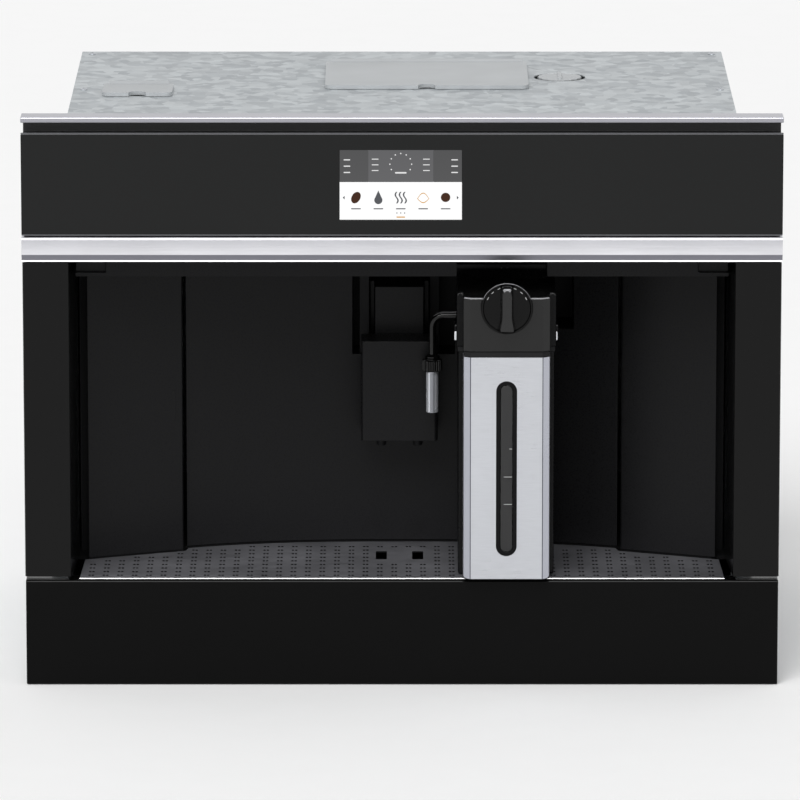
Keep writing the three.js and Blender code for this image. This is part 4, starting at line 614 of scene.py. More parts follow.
TORN_AREA = 0.2 * MM * MM
KEPT = [
    (frame_abs, 0.7, ["side_frame_left", "side_frame_right"]),
    (drawer_abs, 0.9, ["lower_fascia"]),
    (cavity_abs, 0.6, ["cavity_ceiling", "back_panel", "service_door", "tank_front"]),
    (cavity_abs, 0.9, ["spout_hood", "spout_neck"]),
    (housing_painted_light, 0.5, ["control_housing"]),
    (matt_abs, 0.5, ["recess_housing", "drip_tray", "mains_inlet", "power_rocker"]),
    (silicone, 0.6, ["jug_seal"]),
    (body_abs, 0.8, ["release_button_left", "release_button_right"]),
    (trim_aluminium, 0.5, ["top_trim"]),
    (chrome, 0.4, ["steam_nozzle"]),
    (galvanised_sheet, 0.4, ["side_cover_left", "side_cover_right", "base_pan",
                             "top_cover", "rear_cover"]),
    (powder_coat, 0.4, ["inner_floor"]),
    (galvanised_sheet, 0.4, ["runner_outer_left", "runner_outer_right", "runner_middle_left",
                             "runner_middle_right", "runner_inner_left", "runner_inner_right"]),
    (zinc, 0.5, ["pump", "brew_screw"]),
    (brass, 0.5, ["boiler"]),
    (grey_acetal, 0.5, ["brew_frame", "brew_chamber", "grounds_box", "grinder", "powder_chute",
                        "tank_dock"]),
    (clear_plastic, 0.4, ["water_tank", "bean_hopper", "milk_intake"]),
    (lid_grey, 0.6, ["bean_lid", "powder_lid", "grind_knob"]),
    (board_mask, 0.2, ["control_board"]),
]
for finish, width, nodes in KEPT:
    for node in nodes:
        piece = rolled(solid(node + "_rolled", from_frame(node)), width)
        if torn(piece):
            print("rolled on its own triangles:", node)
            bpy.data.objects.remove(piece)
            piece = rolled(solid(node + "_rolled", from_frame(node, whole=False)), width)
        place(piece, finish, node)
print("solids with rolled edges:", len(made))

# %% [markdown]
# The silver bar is extruded to a section of its own, and its lower bevel is painted darker as
# painted shade. Two narrow baffles close the view past the cavity's panels, and two caps close
# the lintel's ends.

# %% Silver bar
BAR_SECTION = [(9, 340.5), (-2.9, 340.5), (-2.9, 342.3), (-2.2, 342.9), (-3.15, 346.6),
               (-2.75, 353), (-3.1, 358.6), (-2.5, 359.1), (-2.9, 359.5), (-2.9, 360.5), (9, 360.5)]
bar = solid("bar_extrusion", from_frame("silver_bar"))
cut(bar, prism(BAR_SECTION, "x", (-310, 310)), operation="INTERSECT")
place(rolled(bar, 0.15, 2), aluminium_and_painted_shade, "silver_bar")
# Painted shade on the bar's lower bevel.
touch(bar, bevel_painted_shade, lambda face: face.normal.z < -0.12 and face.normal.y < -0.5)
print("bar extruded", len(bar.data.polygons), "faces")

# %% Baffles between the frames and the cavity's panels
BAFFLE = (96, 97.5)
for side, name in ((-1, "left"), (1, "right")):
    xs = sorted((side * 250.9, side * 256.6))
    strip = prism(rounded(xs, (86.6, 330), 0.5, 3), "y", BAFFLE)
    place(rolled(solid("baffle_" + name, strip), 0.3), matt_abs, "side_frame_" + name, stands=False)
print("baffles at depths of", BAFFLE, "mm")

# %% Ends of the lintel
ceiling_low, ceiling_high = box_mm("cavity_ceiling")
LINTEL_HALF = 232.5
for side, name in ((-1, "left"), (1, "right")):
    xs = sorted((side * (LINTEL_HALF + 0.3), side * (ceiling_high[0] - 0.5)))
    end_cap = prism(rounded(xs, (ceiling_low[2] + 3, ceiling_high[2]), 0.5, 3), "y", (29, 32))
    place(rolled(solid("lintel_end_" + name, end_cap), 0.4), cavity_abs, "cavity_ceiling",
          stands=False)
print("lintel closed to", round(ceiling_high[0] - 0.5, 1), "mm on both sides")

# %% [markdown]
# ## The control panel
# A single pane covers the whole width. The black print on its back leaves a window for the
# display, which is bonded to the pane, so the picture seems to lie in the surface of the glass.
# The pane here has that window cut through it, with the screen set flush, so that no light is
# lost in it.

# %% Pane and screen
glass_low, glass_high = box_mm("control_glass")
screen_low, screen_high = box_mm("display_screen")
WINDOW_GAP = 0.25
WINDOW_CORNER = 1.0

EDGE = 0.9
pane = solid("glass_pane", prism(
    rounded((glass_low[0], glass_high[0]), (glass_low[2] + EDGE, glass_high[2] - EDGE), 0.6),
    "y", (0, 4)))
window = rounded((screen_low[0] - WINDOW_GAP, screen_high[0] + WINDOW_GAP),
                 (screen_low[2] - WINDOW_GAP, screen_high[2] + WINDOW_GAP), WINDOW_CORNER)
cut(pane, prism(window, "y", (-1, 5)))
place(rolled(pane, 0.2), black_glass, "control_glass")
strips = combine([loft([(rounded((glass_low[0] + 0.3, glass_high[0] - 0.3), zs, 0.3, 3), 0.25),
                        (rounded((glass_low[0], glass_high[0]), zs, 0.3, 3), 0.6),
                        (rounded((glass_low[0], glass_high[0]), zs, 0.3, 3), 4)], "y")
                  for zs in ((glass_low[2], glass_low[2] + EDGE - 0.02),
                             (glass_high[2] - EDGE + 0.02, glass_high[2]))])
# Painted highlight: light grey strips along the pane's top and bottom edges.
glass_edge_highlight = eroded_abs("glass_edge_painted_highlight", "#5c5d60", 0.3, 0.5)
place(rolled(solid("glass_edges", strips), 0), glass_edge_highlight, "control_glass", stands=False)

SPLIT = 403.6
SCREEN_FACE = 0.12
SIDE_COLUMN = 22.4
panes = {
    "screen_lower": (screen_white, (screen_low[0], screen_high[0]), (screen_low[2], SPLIT - 0.2)),
    "screen_upper": (screen_grey, (screen_low[0] + SIDE_COLUMN, screen_high[0] - SIDE_COLUMN),
                     (SPLIT + 0.2, screen_high[2])),
    "screen_left": (screen_edge, (screen_low[0], screen_low[0] + SIDE_COLUMN),
                    (SPLIT + 0.2, screen_high[2])),
    "screen_right": (screen_edge, (screen_high[0] - SIDE_COLUMN, screen_high[0]),
                     (SPLIT + 0.2, screen_high[2])),
}
for name, (finish, xs, zs) in panes.items():
    screen = solid(name, prism(rounded(xs, zs, 0.3, 2), "y", (SCREEN_FACE, screen_high[1])))
    place(rolled(screen, 0), finish, "display_screen")
print("screen", [round(h - l, 1) for l, h in zip(screen_low, screen_high)], "mm")

# %% [markdown]
# The picture on the screen is a design of its own: a dial of dots over a bar in the upper half,
# and five signs for coffee things in the lower half. Each sign is a thin flat mesh on the glass.

# %% Signs on the screen
SIGN_FACE = 0.06
middle = (screen_low[0] + screen_high[0]) / 2


def sign(outlines):
    """Flat signs, one thin prism for each outline of (x, z)."""
    return combine([prism(outline, "y", (SIGN_FACE, SCREEN_FACE)) for outline in outlines])


def ellipse(x, z, half_x, half_z, lean=0.0, sides=24):
    """A leaning oval outline."""
    turns = [2 * pi * i / sides for i in range(sides)]
    points = [(half_x * cos(a), half_z * sin(a)) for a in turns]
    return [(x + u * cos(lean) - v * sin(lean), z + u * sin(lean) + v * cos(lean))
            for u, v in points]


def bow(x, z, half, thick, sag, lean=0.0, steps=8):
    """A curved stroke: an S of one full wave when lean is 1, a plain arc when it is 0."""
    shares = [i / steps for i in range(steps + 1)]
    if lean:
        line = [(x + sag * sin(2 * pi * s), z - half + 2 * half * s) for s in shares]
        return [(u - thick, v) for u, v in line] + [(u + thick, v) for u, v in reversed(line)]
    line = [(x - half + 2 * half * s, z + sag * sin(pi * s)) for s in shares]
    return [(u, v - thick) for u, v in line] + [(u, v + thick) for u, v in reversed(line)]


def drop(x, z, radius, sides=18):
    """A falling drop."""
    turns = [pi * 0.8 + 2 * pi * 0.7 * i / sides for i in range(sides + 1)]
    return [(x, z + 2.4 * radius)] + [(x + radius * cos(a), z + radius * sin(a)) for a in turns]


dial = [ring(middle + 8.5 * cos(a), 418 + 8.5 * sin(a), 0.55, 12)
        for a in [radians(210 - 30 * i) for i in range(9)]]
level = [rounded((middle - 4.5, middle + 4.5), (410.6, 411.8), 0.5, 3)]
column = [rounded((x - 2.6, x + 2.6), (z, z + 0.9), 0.4, 3)
          for x in (screen_low[0] + 5.7, screen_high[0] - 5.7) for z in (411, 416, 421)]
steps = [bow(middle + x, z, 2.6, 0.35, 0, 0) for x in (-20, 20) for z in (413, 417.5, 422)]
row = [middle + 17.5 * i for i in (-2, -1, 0, 1, 2)]
BASE = 391.5
brown = [ellipse(row[0], BASE, 3.4, 4.9, -0.5), ellipse(row[4], BASE + 0.2, 3.7, 3.7)]
water = [drop(row[1], BASE - 2.0, 3.2)]
steam = [bow(row[2] + x, BASE, 4.6, 0.6, 1.1, 1) for x in (-3.2, 0, 3.2)]
leaf = [bow(row[3], BASE - 1.0, 4.6, 0.35, 4.6), bow(row[3], BASE - 0.6, 4.6, 0.35, -3.4)]
captions = [rounded((x - 3.8, x + 3.8), (382.2, 383.1), 0.4, 2) for x in row]
pager = [ring(middle + 3 * i, 379.3, 0.5, 12) for i in (-1, 0, 1)]
arrows = [[(middle + side * 45.3, BASE), (middle + side * 43.8, BASE + 1.5),
           (middle + side * 43.8, BASE - 1.5)] for side in (-1, 1)]
chosen = [rounded((row[2] - 3.4, row[2] + 3.4), (375.6, 376.5), 0.4, 3)]
signs = {
    "signs_white": (mark_white, dial + level + column + steps),
    "signs_brown": (mark_brown, brown),
    "signs_grey": (mark_grey, water + steam + captions + pager + arrows),
    "signs_amber": (mark_amber, leaf + chosen),
}
for name, (finish, outlines) in signs.items():
    place(rolled(solid(name, sign(outlines)), 0), finish, "display_screen", stands=False)
print("signs drawn:", sum(len(outlines) for finish, outlines in signs.values()))

# %% [markdown]
# ## The drip grille
# A pressed stainless sheet: pairs of small oval holes in rows, two square drains under the
# coffee outlets, a back edge that follows the curve of the cavity, and a front edge folded down
# over the drawer. All holes are punched by one boolean. The walls of the holes are rough and
# painted near black as painted shade, so the holes read as dark dots.

# %% Grille outline
grille_low, grille_high = box_mm("drip_grille")
HOLE_HALF = (0.95, 2.0)
HOLE_PAIR = 1.3
SHEET_HALF = 254.2
PITCH_X = 11.4
PITCH_Y = 12.6
FIRST_ROW = 11.2
PATTERN_CENTRE = -0.5
DRAIN_HALF = 4.4
DRAIN_DEPTHS = (67.4, 95.7)
DRAINS = (-16.5, 12.5)
SEAM, PANEL_WIDTH, CAVITY_HALF = 172.5, 77.5, 250
MIDDLE_DEPTH, SEAM_DEPTH, SIDE_DEPTH = 132.3, 98.9, 68.8
CURVE_DROP, CURVE_POWER = 63.5, 2.6


def back_depth(x):
    """How far back the cavity goes at x: a curve in the middle, flat panels at the sides."""
    if abs(x) > SEAM:
        return SEAM_DEPTH - (abs(x) - SEAM) * (SEAM_DEPTH - SIDE_DEPTH) / PANEL_WIDTH
    return MIDDLE_DEPTH - CURVE_DROP * (abs(x) / CAVITY_HALF) ** CURVE_POWER


curve = [SEAM - 1.5 - (2 * SEAM - 3) * i / 40 for i in range(41)]
end = 252.4
half = SHEET_HALF
outline = [(-half, 2.6), (half, 2.6), (end, back_depth(end) - 1.5),
           (SEAM + 0.9, back_depth(SEAM + 0.9) - 1.5)]
outline += [(x, back_depth(x) - 1.5) for x in curve]
outline += [(-SEAM - 0.9, back_depth(SEAM + 0.9) - 1.5), (-end, back_depth(end) - 1.5)]
plate = solid("grille_sheet", prism(outline, "z", (grille_low[2], grille_high[2])))
print("grille", round(2 * half), "mm wide,", round(grille_high[1]), "mm deep")

# %% Grille holes
columns = int(half / PITCH_X)
drills = []
top, bottom = grille_high[2], grille_low[2]
for column in range(-columns, columns):
    x = PATTERN_CENTRE + (column + 0.5) * PITCH_X
    beside = min(abs(x - drain) for drain in DRAINS) < 9 or DRAINS[0] < x < DRAINS[1]
    y = FIRST_ROW
    while y < back_depth(abs(x) + 3) - 8:
        if not (beside and DRAIN_DEPTHS[0] - 8 < y < DRAIN_DEPTHS[1] + 8) and abs(x) < half - 7:
            for middle_x in (x - HOLE_PAIR, x + HOLE_PAIR):
                hole = rounded((middle_x - HOLE_HALF[0], middle_x + HOLE_HALF[0]),
                               (y - HOLE_HALF[1], y + HOLE_HALF[1]), HOLE_HALF[0] - 0.05, 3)
                drills.append(prism(hole, "z", (bottom - 1, top + 1)))
        y += PITCH_Y
holes = len(drills)
cut(plate, combine(drills))
cut(plate, combine([prism(rounded((x - DRAIN_HALF, x + DRAIN_HALF), DRAIN_DEPTHS, 1.0, 4), "z",
                          (bottom - 1, top + 1)) for x in DRAINS]))
place(rolled(plate, 0), grille_steel, "drip_grille")
# Painted shade: the walls of the holes are painted near black.
hole_wall_painted_shade = eroded_abs("hole_wall_painted_shade", "#101011", 0.1, 0.8)
touch(plate, hole_wall_painted_shade, lambda face: abs(face.normal.z) < 0.5)

fold = filleted([(1.0, 85.6, 0), (3.0, 85.6, 0), (3.0, 86.28, 0), (1.0, 86.28, 0.6)], 6)
hem = solid("grille_hem", prism(fold, "x", (-half, half)))
place(rolled(hem, 0), hem_steel, "drip_grille", stands=False)
print("holes:", holes)

# %% [markdown]
# ## The milk jug
# A black moulded container wears a folded stainless sleeve in front, with a long window slot. All
# its pieces share one outline: a flat face, two slanted facets, a step, and a round back.

# %% Jug outlines
lid_low, lid_high = box_mm("jug_lid")
jug_low, jug_high = box_mm("jug_container")
JUG_X = (lid_low[0] + lid_high[0]) / 2
FACE, SHOULDER, STEP, REAR = 28.4, 34.1, 12.0, 39.2
SHOULDER_Y = -6.2
JUG_FRONT, JUG_BACK = -10.0, 110.0
MITRE = 0.41  # how far a front corner moves along its face for each mm of inset


def front_corners(inset, bend):
    """The right half of the jug's front from above: its flat face and its slanted facet."""
    return [(FACE - inset * MITRE, JUG_FRONT + inset, bend),
            (SHOULDER - inset, SHOULDER_Y + inset * MITRE, bend)]


def jug_outline(inset, bend=1.2, corner=14.0):
    """The jug from above, drawn in by an inset."""
    right = front_corners(inset, bend) + [
        (SHOULDER - inset, STEP + inset, 1.0), (REAR - inset, STEP + inset, 1.6),
        (REAR - inset, JUG_BACK - inset, corner - inset)]
    return [(JUG_X + u, v) for u, v in filleted(right + mirrored(right), 8)]


def sleeve_outline(inset, back, bend):
    """The folded sleeve from above."""
    right = front_corners(inset, bend) + [(SHOULDER - inset, back, 0)]
    return [(JUG_X + u, v) for u, v in filleted(right + mirrored(right), 5)]


def slot_outline(inset):
    """The window slot, seen from the front, drawn in by an inset."""
    reach = 8.2 - inset
    return rounded((JUG_X - reach, JUG_X + reach), (jug_low[2] + 20 + inset, 247.1 - inset),
                   reach - 0.05, 10)


print("jug", round(jug_high[2] - jug_low[2]), "mm high without its lid")

# %% Container, sleeve and window
FOOT = 2.2
SLEEVE_FOOT = 88.1
body = solid("jug_body", loft([
    (jug_outline(3.4), jug_low[2]), (jug_outline(1.7), jug_low[2] + 0.7),
    (jug_outline(1.4), jug_low[2] + FOOT), (jug_outline(1.3), jug_high[2])], "z"))
cut(body, prism(jug_outline(3.5), "z", (jug_low[2] + FOOT, jug_high[2] + 1)))
cut(body, prism(slot_outline(3.2), "y", (JUG_FRONT - 1, 5)))
place(rolled(body, 0.3, 2), body_abs, "jug_container")

shell = solid("jug_shell", prism(sleeve_outline(0, STEP - 0.3, 2.0), "z",
                                (SLEEVE_FOOT, jug_high[2])))
cut(shell, prism(sleeve_outline(1.0, STEP + 1, 0.4), "z", (80, jug_high[2] + 1)))
cut(shell, prism(slot_outline(0), "y", (JUG_FRONT - 1, JUG_FRONT + 2.5)))
corners = rounded((JUG_X - SHOULDER, JUG_X + SHOULDER), (SLEEVE_FOOT, jug_high[2] + 20), 3.5, 8)
cut(shell, prism(corners, "y", (JUG_FRONT - 1, STEP + 1)), operation="INTERSECT")
place(rolled(shell, 0.45, 2), sleeve_steel, "jug_sleeve")
# Painted shade on the sleeve's facets and bends.
touch(shell, facet_painted_shade, lambda face: abs(face.normal.x) > 0.5 and face.normal.y < -0.6)
touch(shell, bend_painted_shade, lambda face: 0.06 < abs(face.normal.x) < 0.5 and face.normal.y < -0.8
      and abs(face.normal.z) < 0.1 and abs(face.center.x / MM - JUG_X) > 20)

bezel = solid("window_bezel", prism(slot_outline(0.3), "y", (-9.7, -8.8)))
cut(bezel, prism(slot_outline(3.2), "y", (-12, -7)))
place(rolled(bezel, 0.25), body_abs, "window_frame")

strip = solid("window_strip", prism(slot_outline(3.5), "y", (-9.6, -6.7)))
window_san = clear_san("smoked_san", "#5a5b5e", 0.08)
place(rolled(strip, 0.4), window_san, "window_lens")
LEVELS = ((192.5, 0.35), (170, 1.0), (148, 1.0))
ticks = combine([prism(rounded((JUG_X + 4.4 - 6.5 * share, JUG_X + 4.4), (z, z + 0.5), 0.2, 2),
                       "y", (-9.66, -9.6)) for z, share in LEVELS])
tick_ink = eroded_abs("tick_ink", "#a8a8a8", 0.3, 0.5)
place(rolled(solid("level_ticks", ticks), 0), tick_ink, "window_lens", stands=False)
print("level marks:", len(LEVELS))

# %% [markdown]
# The lid is a thick moulded block whose front bears the froth knob. Its pockets hold the two
# release buttons, and its bores take the steam nozzle, the elbow and the intake tube.

# %% Lid
KNOB_Z = 306.1
LID_CROWN = 2.4
top, bottom = lid_high[2], 270.6
ARM_Y, ARM_Z = 76.0, bottom + 12.4
NOZZLE = (JUG_X + 14, 70)
POCKET = ((21.7, 38.3), (272.2, 286.8))
lid = solid("jug_cap", loft([
    (jug_outline(0.4), bottom), (jug_outline(0), bottom + 0.4), (jug_outline(0), top - LID_CROWN),
    (jug_outline(0.35), top - 1.2), (jug_outline(1.1), top - 0.35), (jug_outline(2.2), top)], "z"))
tools = [
    turned((JUG_X, KNOB_Z), [(5.3, JUG_FRONT - 1), (5.3, 0)], "y", 32),
    turned((JUG_X, bottom + 24.4), [(4.8, 96), (4.8, 111)], "y", 32),
    turned((ARM_Y, ARM_Z), [(3.2, JUG_X - REAR - 1), (3.2, JUG_X - REAR + 8)], "x", 32),
    turned(NOZZLE, [(4.3, bottom - 6), (4.3, bottom + 8)], "z", 32),
]
for side in (-1, 1):
    ends = sorted((JUG_X + side * (REAR + 1), JUG_X + side * (REAR - 4.9)))
    tools.append(prism(rounded(*POCKET, 2.6), "x", ends))
cut(lid, *tools)
skirt = solid("lid_skirt", prism(jug_outline(4.2), "z", (lid_low[2], bottom)))
cut(skirt, prism(jug_outline(7), "z", (lid_low[2] - 1, bottom - 1)),
    turned(NOZZLE, [(4.3, bottom - 6), (4.3, bottom + 2)], "z", 32))
place(rolled(skirt, 0.3), lid_abs, "jug_lid", stands=False)
place(rolled(lid, 0.35), lid_abs, "jug_lid")
step = at(0, STEP - 0.6, 0).y
# Painted shade: the lid's rear part is darker. Painted highlight: the top of its front edge.
touch(lid, body_abs, lambda face: face.center.y > step and face.normal.z < 0.3)
touch(lid, painted_highlight, lambda face: face.center.y < step and face.normal.y < -0.3
      and 0.45 < face.normal.z < 0.8)

# %% [markdown]
# Each release button bears a small bright chrome inlay at its front end, as a painted glint.

# %% Button inlays
INLAY_X = {"left": (41.2, 43.7), "right": (120.4, 122.3)}
INLAY_Y, INLAY_Z = (21.85, 22.4), (273.6, 280.4)
for name, xs in INLAY_X.items():
    inlay = prism(rounded(xs, INLAY_Z, 0.8, 4), "y", INLAY_Y)
    place(rolled(solid("button_painted_glint_" + name, inlay), 0.1), chrome, "release_button_" + name,
          stands=False)
print("lid", round(top - bottom, 1), "mm high")

# %% [markdown]
# The knob is a shallow dish with a thin rim and a bar to grip, which widens at its foot. The
# rim's upper arc and the grip's top carry a painted highlight.

# %% Froth knob
knob_low, knob_high = box_mm("froth_knob")
RADIUS = (knob_high[0] - knob_low[0]) / 2
knob_x = (knob_low[0] + knob_high[0]) / 2
face = JUG_FRONT - 0.3 - 6
disc = solid("knob_disc", turned((knob_x, KNOB_Z), [
    (0, -1), (5, -1), (5, JUG_FRONT - 0.3), (RADIUS - 0.6, JUG_FRONT - 0.3),
    (RADIUS, JUG_FRONT - 0.9), (RADIUS, face + 0.7), (RADIUS - 0.35, face + 0.1),
    (RADIUS - 0.8, face), (RADIUS - 1.5, face + 0.25), (RADIUS - 2.2, face + 1.3),
    (RADIUS - 6, face + 2.1), (0, face + 2.4)], "y", 96))
place(rolled(disc, 0), dish_abs, "froth_knob")
MARK_REACH = RADIUS - 3.4
marks = [[(knob_x - 1.5, KNOB_Z + MARK_REACH - 0.6), (knob_x, KNOB_Z + MARK_REACH + 0.9),
          (knob_x + 1.5, KNOB_Z + MARK_REACH - 0.6), (knob_x + 1.1, KNOB_Z + MARK_REACH - 0.9),
          (knob_x, KNOB_Z + MARK_REACH + 0.2), (knob_x - 1.1, KNOB_Z + MARK_REACH - 0.9)]]
for turn in (-62, -42, -22, 22, 42, 62):
    way = Vector((sin(radians(turn)), cos(radians(turn))))
    aside = Vector((way.y, -way.x)) * 1.1
    ends = [way * (MARK_REACH - 0.3) - aside, way * (MARK_REACH + 0.3) - aside,
            way * (MARK_REACH + 0.3) + aside, way * (MARK_REACH - 0.3) + aside]
    marks.append([(knob_x + u, KNOB_Z + v) for u, v in ends])
dial_marks = combine([prism(outline, "y", (face + 1.45, face + 1.9)) for outline in marks])
place(rolled(solid("knob_marks", dial_marks), 0), tick_ink, "froth_knob", stands=False)

GRIP_FACE = knob_low[1]
reach = RADIUS - 1.6
foot_half, waist, head = 6.2, 4.4, 3.3


def grip_outline(inset):
    """The grip bar from the front: a slim bar that flares into a foot."""
    right = [(head - inset, reach * 0.94 - inset, 1.6), (waist - inset, reach * 0.62, 4),
             (waist - inset, -reach * 0.35, 9), (foot_half - inset, -reach * 0.93 + inset, 1.2)]
    return [(knob_x + u, KNOB_Z + v) for u, v in filleted(mirrored(right) + right, 6)]


grip = solid("knob_grip", loft([
    (grip_outline(-0.6), face + 2.3), (grip_outline(0), face + 1.0),
    (grip_outline(0.2), GRIP_FACE + 1.6), (grip_outline(0.8), GRIP_FACE + 0.4),
    (grip_outline(1.6), GRIP_FACE)], "y"))
place(rolled(grip, 0), grip_abs, "froth_knob", stands=False)
# Painted highlights on the upper arc of the rim and on the top of the grip.
touch(disc, painted_highlight, lambda side: side.center.z / MM > KNOB_Z + RADIUS * 0.35
      and side.normal.z > 0.2 and -0.92 < side.normal.y < -0.35
      and side.center.y < at(0, face + 0.8, 0).y)
touch(grip, painted_highlight, lambda face: face.center.z / MM > KNOB_Z + reach * 0.8
      and face.normal.y < -0.3)
print("knob", round(2 * RADIUS, 1), "mm across")

# %% [markdown]
# The elbow is a bent tube with a knurled collar. It is swept along its own centre line: a ring
# stands square to the line at each step, so the tube keeps its thickness through the bend.

# %% Elbow and collar
TUBE_X = 24.0
BEND = 10.0
ARM_RADIUS = 2.9
COLLAR_FOOT = bottom - 32.6


def sweep(line, radius, sides=32):
    """A round bar along a line in one vertical plane, given as (x, z)."""
    mesh = bmesh.new()
    loops = []
    for i, (x, z) in enumerate(line):
        before = Vector(line[max(i - 1, 0)])
        after = Vector(line[min(i + 1, len(line) - 1)])
        way = (after - before).normalized()
        loops.append([mesh.verts.new(at(x - way.y * radius * cos(a), ARM_Y + radius * sin(a),
                                        z + way.x * radius * cos(a)))
                      for a in [2 * pi * k / sides for k in range(sides)]])
    mesh.faces.new(loops[0])
    mesh.faces.new(loops[-1])
    for low, high in zip(loops, loops[1:]):
        for k in range(sides):
            mesh.faces.new((low[k], low[(k + 1) % sides], high[(k + 1) % sides], high[k]))
    bmesh.ops.recalc_face_normals(mesh, faces=mesh.faces)
    return mesh


turn = [radians(90 * i / 10) for i in range(11)]
line = [(JUG_X - REAR + 7.7, ARM_Z)]
line += [(TUBE_X + BEND - BEND * sin(a), ARM_Z - BEND + BEND * cos(a)) for a in turn]
line += [(TUBE_X, COLLAR_FOOT + 12.5)]
arm = place(rolled(solid("elbow_arm", sweep(line, ARM_RADIUS)), 0.2), arm_abs, "milk_elbow")
# A painted highlight along the top of the arm.
touch(arm, painted_highlight, lambda face: face.normal.z > 0.72 and face.normal.y < 0.35)

RIBS = 26
GRIP_TOP = COLLAR_FOOT + 9.4


def knurl(radius, depth=0.5):
    """A round outline with straight ribs."""
    turns = [2 * pi * i / (RIBS * 4) for i in range(RIBS * 4)]
    return [(TUBE_X + (radius - depth * (i % 4 < 2)) * cos(a),
             ARM_Y + (radius - depth * (i % 4 < 2)) * sin(a)) for i, a in enumerate(turns)]


collar = loft([(knurl(7.2), COLLAR_FOOT), (knurl(8.0), COLLAR_FOOT + 0.8),
               (knurl(8.0), GRIP_TOP - 0.8), (knurl(7.2), GRIP_TOP)], "z")
neck = turned((TUBE_X, ARM_Y), [
    (6.4, GRIP_TOP), (6.4, GRIP_TOP + 0.5), (5.6, GRIP_TOP + 1.0), (6.0, GRIP_TOP + 1.6),
    (6.0, GRIP_TOP + 2.4), (4.6, GRIP_TOP + 3.4), (4.2, COLLAR_FOOT + 13.4),
    (2.9, COLLAR_FOOT + 13.5)], "z", 48)
place(rolled(solid("collar_knurl", collar), 0), arm_abs, "milk_elbow", stands=False)
place(rolled(solid("collar_neck", neck), 0), arm_abs, "milk_elbow", stands=False)
print("collar at z =", round(COLLAR_FOOT, 1))

# %% Chrome milk tube and coffee outlets
tube_foot = box_mm("milk_tube")[0][2]
tube = turned((TUBE_X, ARM_Y), [
    (3.6, tube_foot), (4.5, tube_foot), (4.9, tube_foot + 0.5),
    (4.9, COLLAR_FOOT - 1.2), (4.5, COLLAR_FOOT - 0.5), (3.6, COLLAR_FOOT - 0.4),
    (3.4, COLLAR_FOOT - 3), (3.4, tube_foot + 2)], "z", 64)
pipe = place(rolled(solid("tube_chrome", tube), 0), tube_plate, "milk_tube")
# A painted reflection: the middle of the tube's front is painted darker.
touch(pipe, tube_painted_reflection, lambda face: -0.35 < face.normal.x < 0.4 and face.normal.y < 0
      and abs(face.normal.z) < 0.2)

outlet_low, outlet_high = box_mm("spout_outlets")
OUTLET_Y = 101.5
cups = []
for x in DRAINS:
    cups.append(turned((x, OUTLET_Y), [
        (2.4, outlet_low[2]), (3.2, outlet_low[2]), (3.6, outlet_low[2] + 0.4),
        (4.3, outlet_low[2] + 4.6), (4.5, outlet_low[2] + 5.4), (4.6, outlet_low[2] + 8),
        (2.4, outlet_low[2] + 8), (2.2, outlet_low[2] + 1)], "z", 40))
place(rolled(solid("outlet_cups", combine(cups)), 0), matt_abs, "spout_outlets")
trough = prism(rounded((outlet_low[0], outlet_high[0]), (95.5, 107.5), 2), "z",
               (outlet_low[2] + 7.2, outlet_high[2]))
place(rolled(solid("outlet_trough", trough), 0.5), matt_abs, "spout_outlets", stands=False)
print("outlets", round(DRAINS[1] - DRAINS[0], 1), "mm apart")

# %% [markdown]
# ## Fasteners
# Pan-head screws hold the covers. Each head is a low dome with a cross recess, turned and cut.

# %% Screws in the covers
def screw(x, y, z, axis, out):
    """A pan-head screw whose head stands out along an axis, with a cross recess."""
    u, v, w = {"x": (y, z, x), "y": (x, z, y), "z": (x, y, z)}[axis]
    profile = [(0, w - out), (2.9, w - out), (3.0, w), (3.0, w + out * 0.5), (2.4, w + out * 1.1),
               (1.2, w + out * 1.45), (0, w + out * 1.5)]
    head = solid("head", turned((u, v), profile, axis, 24))
    for a, b in ((1.7, 0.35), (0.35, 1.7)):
        cut(head, prism([(u - a, v - b), (u + a, v - b), (u + a, v + b), (u - a, v + b)], axis,
                        sorted((w + out * 0.6, w + out * 2))))
    mesh = bmesh.new()
    mesh.from_mesh(head.data)
    bpy.data.objects.remove(head)
    return mesh


rear_face = box_mm("rear_cover")[1][1]
roof = box_mm("top_cover")[1][2]
wall = box_mm("side_cover_right")[1][0]
SCREW_X, SCREW_Y = (-256, 256), (40, 376)
rear_screws = [screw(x, rear_face, z, "y", 1) for x in (-256, 0, 256) for z in (14, 434)]
rear_screws += [screw(x, rear_face, 220, "y", 1) for x in SCREW_X]
roof_screws = [screw(x, y, roof, "z", 1) for x in SCREW_X for y in (40, 200, 376)]
wall_screws = [screw(side * wall, y, z, "x", side) for side in (-1, 1) for y in SCREW_Y
               for z in (20, 300, 425)]
for name, meshes, node in (("rear_screws", rear_screws, "rear_cover"),
                           ("roof_screws", roof_screws, "top_cover"),
                           ("wall_screws", wall_screws, "side_cover_right")):
    print(name, len(meshes))
    place(rolled(solid(name, combine(meshes)), 0), zinc, node, stands=False)

# %% [markdown]
# ## Studio
# A white world stands for the paper walls of a product studio. Cameras, mirrors and glass see it
# at full white, and matt surfaces are lit by a softer level of it, so that a large soft lamp above
# and in front can still shape the forms.

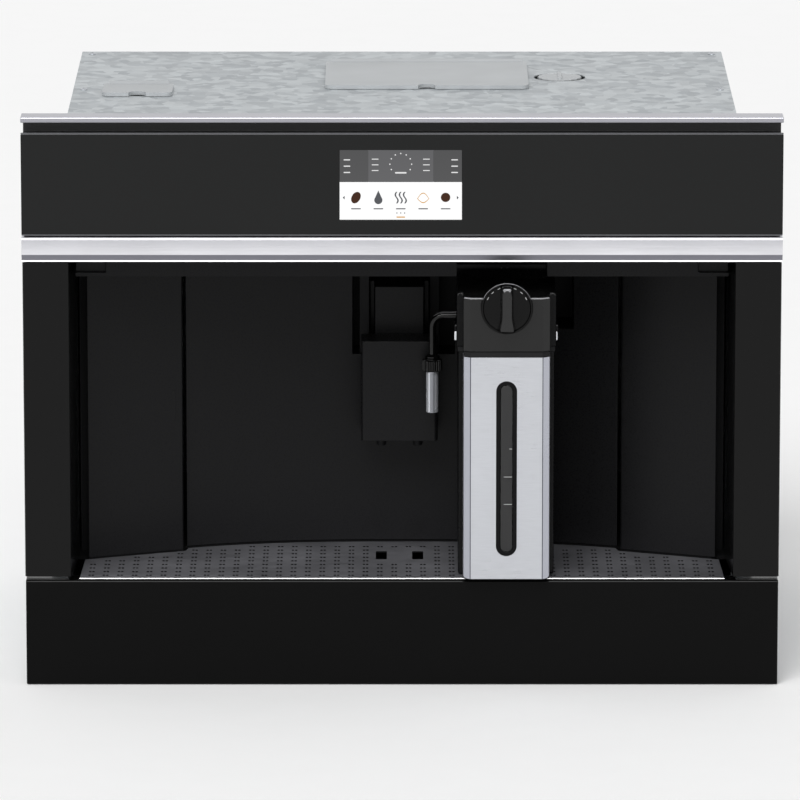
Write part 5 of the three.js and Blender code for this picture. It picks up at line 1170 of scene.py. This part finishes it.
# %% World, lamps and floor
WORLD_LEVEL = 0.5
KEY_ENERGY = 1.9
KEY_SPREAD = radians(40)
KEY_TILT = (radians(38), radians(-14), 0)
SOFTBOX = Vector((0, -1.4, 1.5))
SOFTBOX_SIZE = (1.6, 1.0)
SOFTBOX_POWER = 24
world = bpy.data.worlds.new("studio")
scene.world = world
world.use_nodes = True
sky = world.node_tree
sky.nodes.clear()
rays = add(sky, "ShaderNodeLightPath", {})
mirror = add(sky, "ShaderNodeMath", {
    "Value": rays.outputs["Is Camera Ray"], "Value_001": rays.outputs["Is Glossy Ray"]},
    operation="MAXIMUM")
seen = add(sky, "ShaderNodeMath", {
    "Value": mirror, "Value_001": rays.outputs["Is Transmission Ray"]}, operation="MAXIMUM")
soft = add(sky, "ShaderNodeBackground", {"Color": linear("#ffffff"), "Strength": WORLD_LEVEL})
white = add(sky, "ShaderNodeBackground", {"Color": linear("#ffffff"), "Strength": 1.0})
both = add(sky, "ShaderNodeMixShader", {"Fac": seen, "Shader": soft, "Shader_001": white})
add(sky, "ShaderNodeOutputWorld", {"Surface": both})

sun = bpy.data.objects.new("key_lamp", bpy.data.lights.new("key_lamp", "SUN"))
sun.data.energy = KEY_ENERGY
sun.data.angle = KEY_SPREAD
sun.rotation_euler = KEY_TILT
scene.collection.objects.link(sun)

# A softbox in front of the machine and above it draws the thin lines of light along rolled edges.
# Only gloss sees it: matt surfaces are lit by the sun and the world alone.
box_lamp = bpy.data.objects.new("softbox", bpy.data.lights.new("softbox", "AREA"))
box_lamp.data.shape = "RECTANGLE"
box_lamp.data.size, box_lamp.data.size_y = SOFTBOX_SIZE
box_lamp.data.energy = SOFTBOX_POWER
box_lamp.location = SOFTBOX
box_lamp.rotation_euler = (AIM - SOFTBOX).to_track_quat("-Z", "Y").to_euler()
box_lamp.visible_diffuse = False
scene.collection.objects.link(box_lamp)

floor_finish, floor_tree, floor_surface, floor_spot = start(
    "paper_floor", "#fbfbfb", 0.9, Specular_IOR_Level=0.0)
fibre = add(floor_tree, "ShaderNodeTexNoise", {"Vector": floor_spot, "Scale": per(40)})
paper = mix(floor_tree, fibre, linear("#fafafa"), linear("#fcfcfc"))
feed(floor_tree, floor_surface, Base_Color=paper)
FLOOR_REACH = 30000
floor = solid("studio_floor", prism(
    rounded((-FLOOR_REACH, FLOOR_REACH), (-FLOOR_REACH, FLOOR_REACH), 100), "z", (-20, -0.2)))
floor.data.materials.append(floor_finish)

scene.view_settings.view_transform = "Standard"
strict = [name for name in made if torn(bpy.data.objects[name])]
print("pieces made:", len(made), "beyond the strict tolerance on their faces:", len(strict))
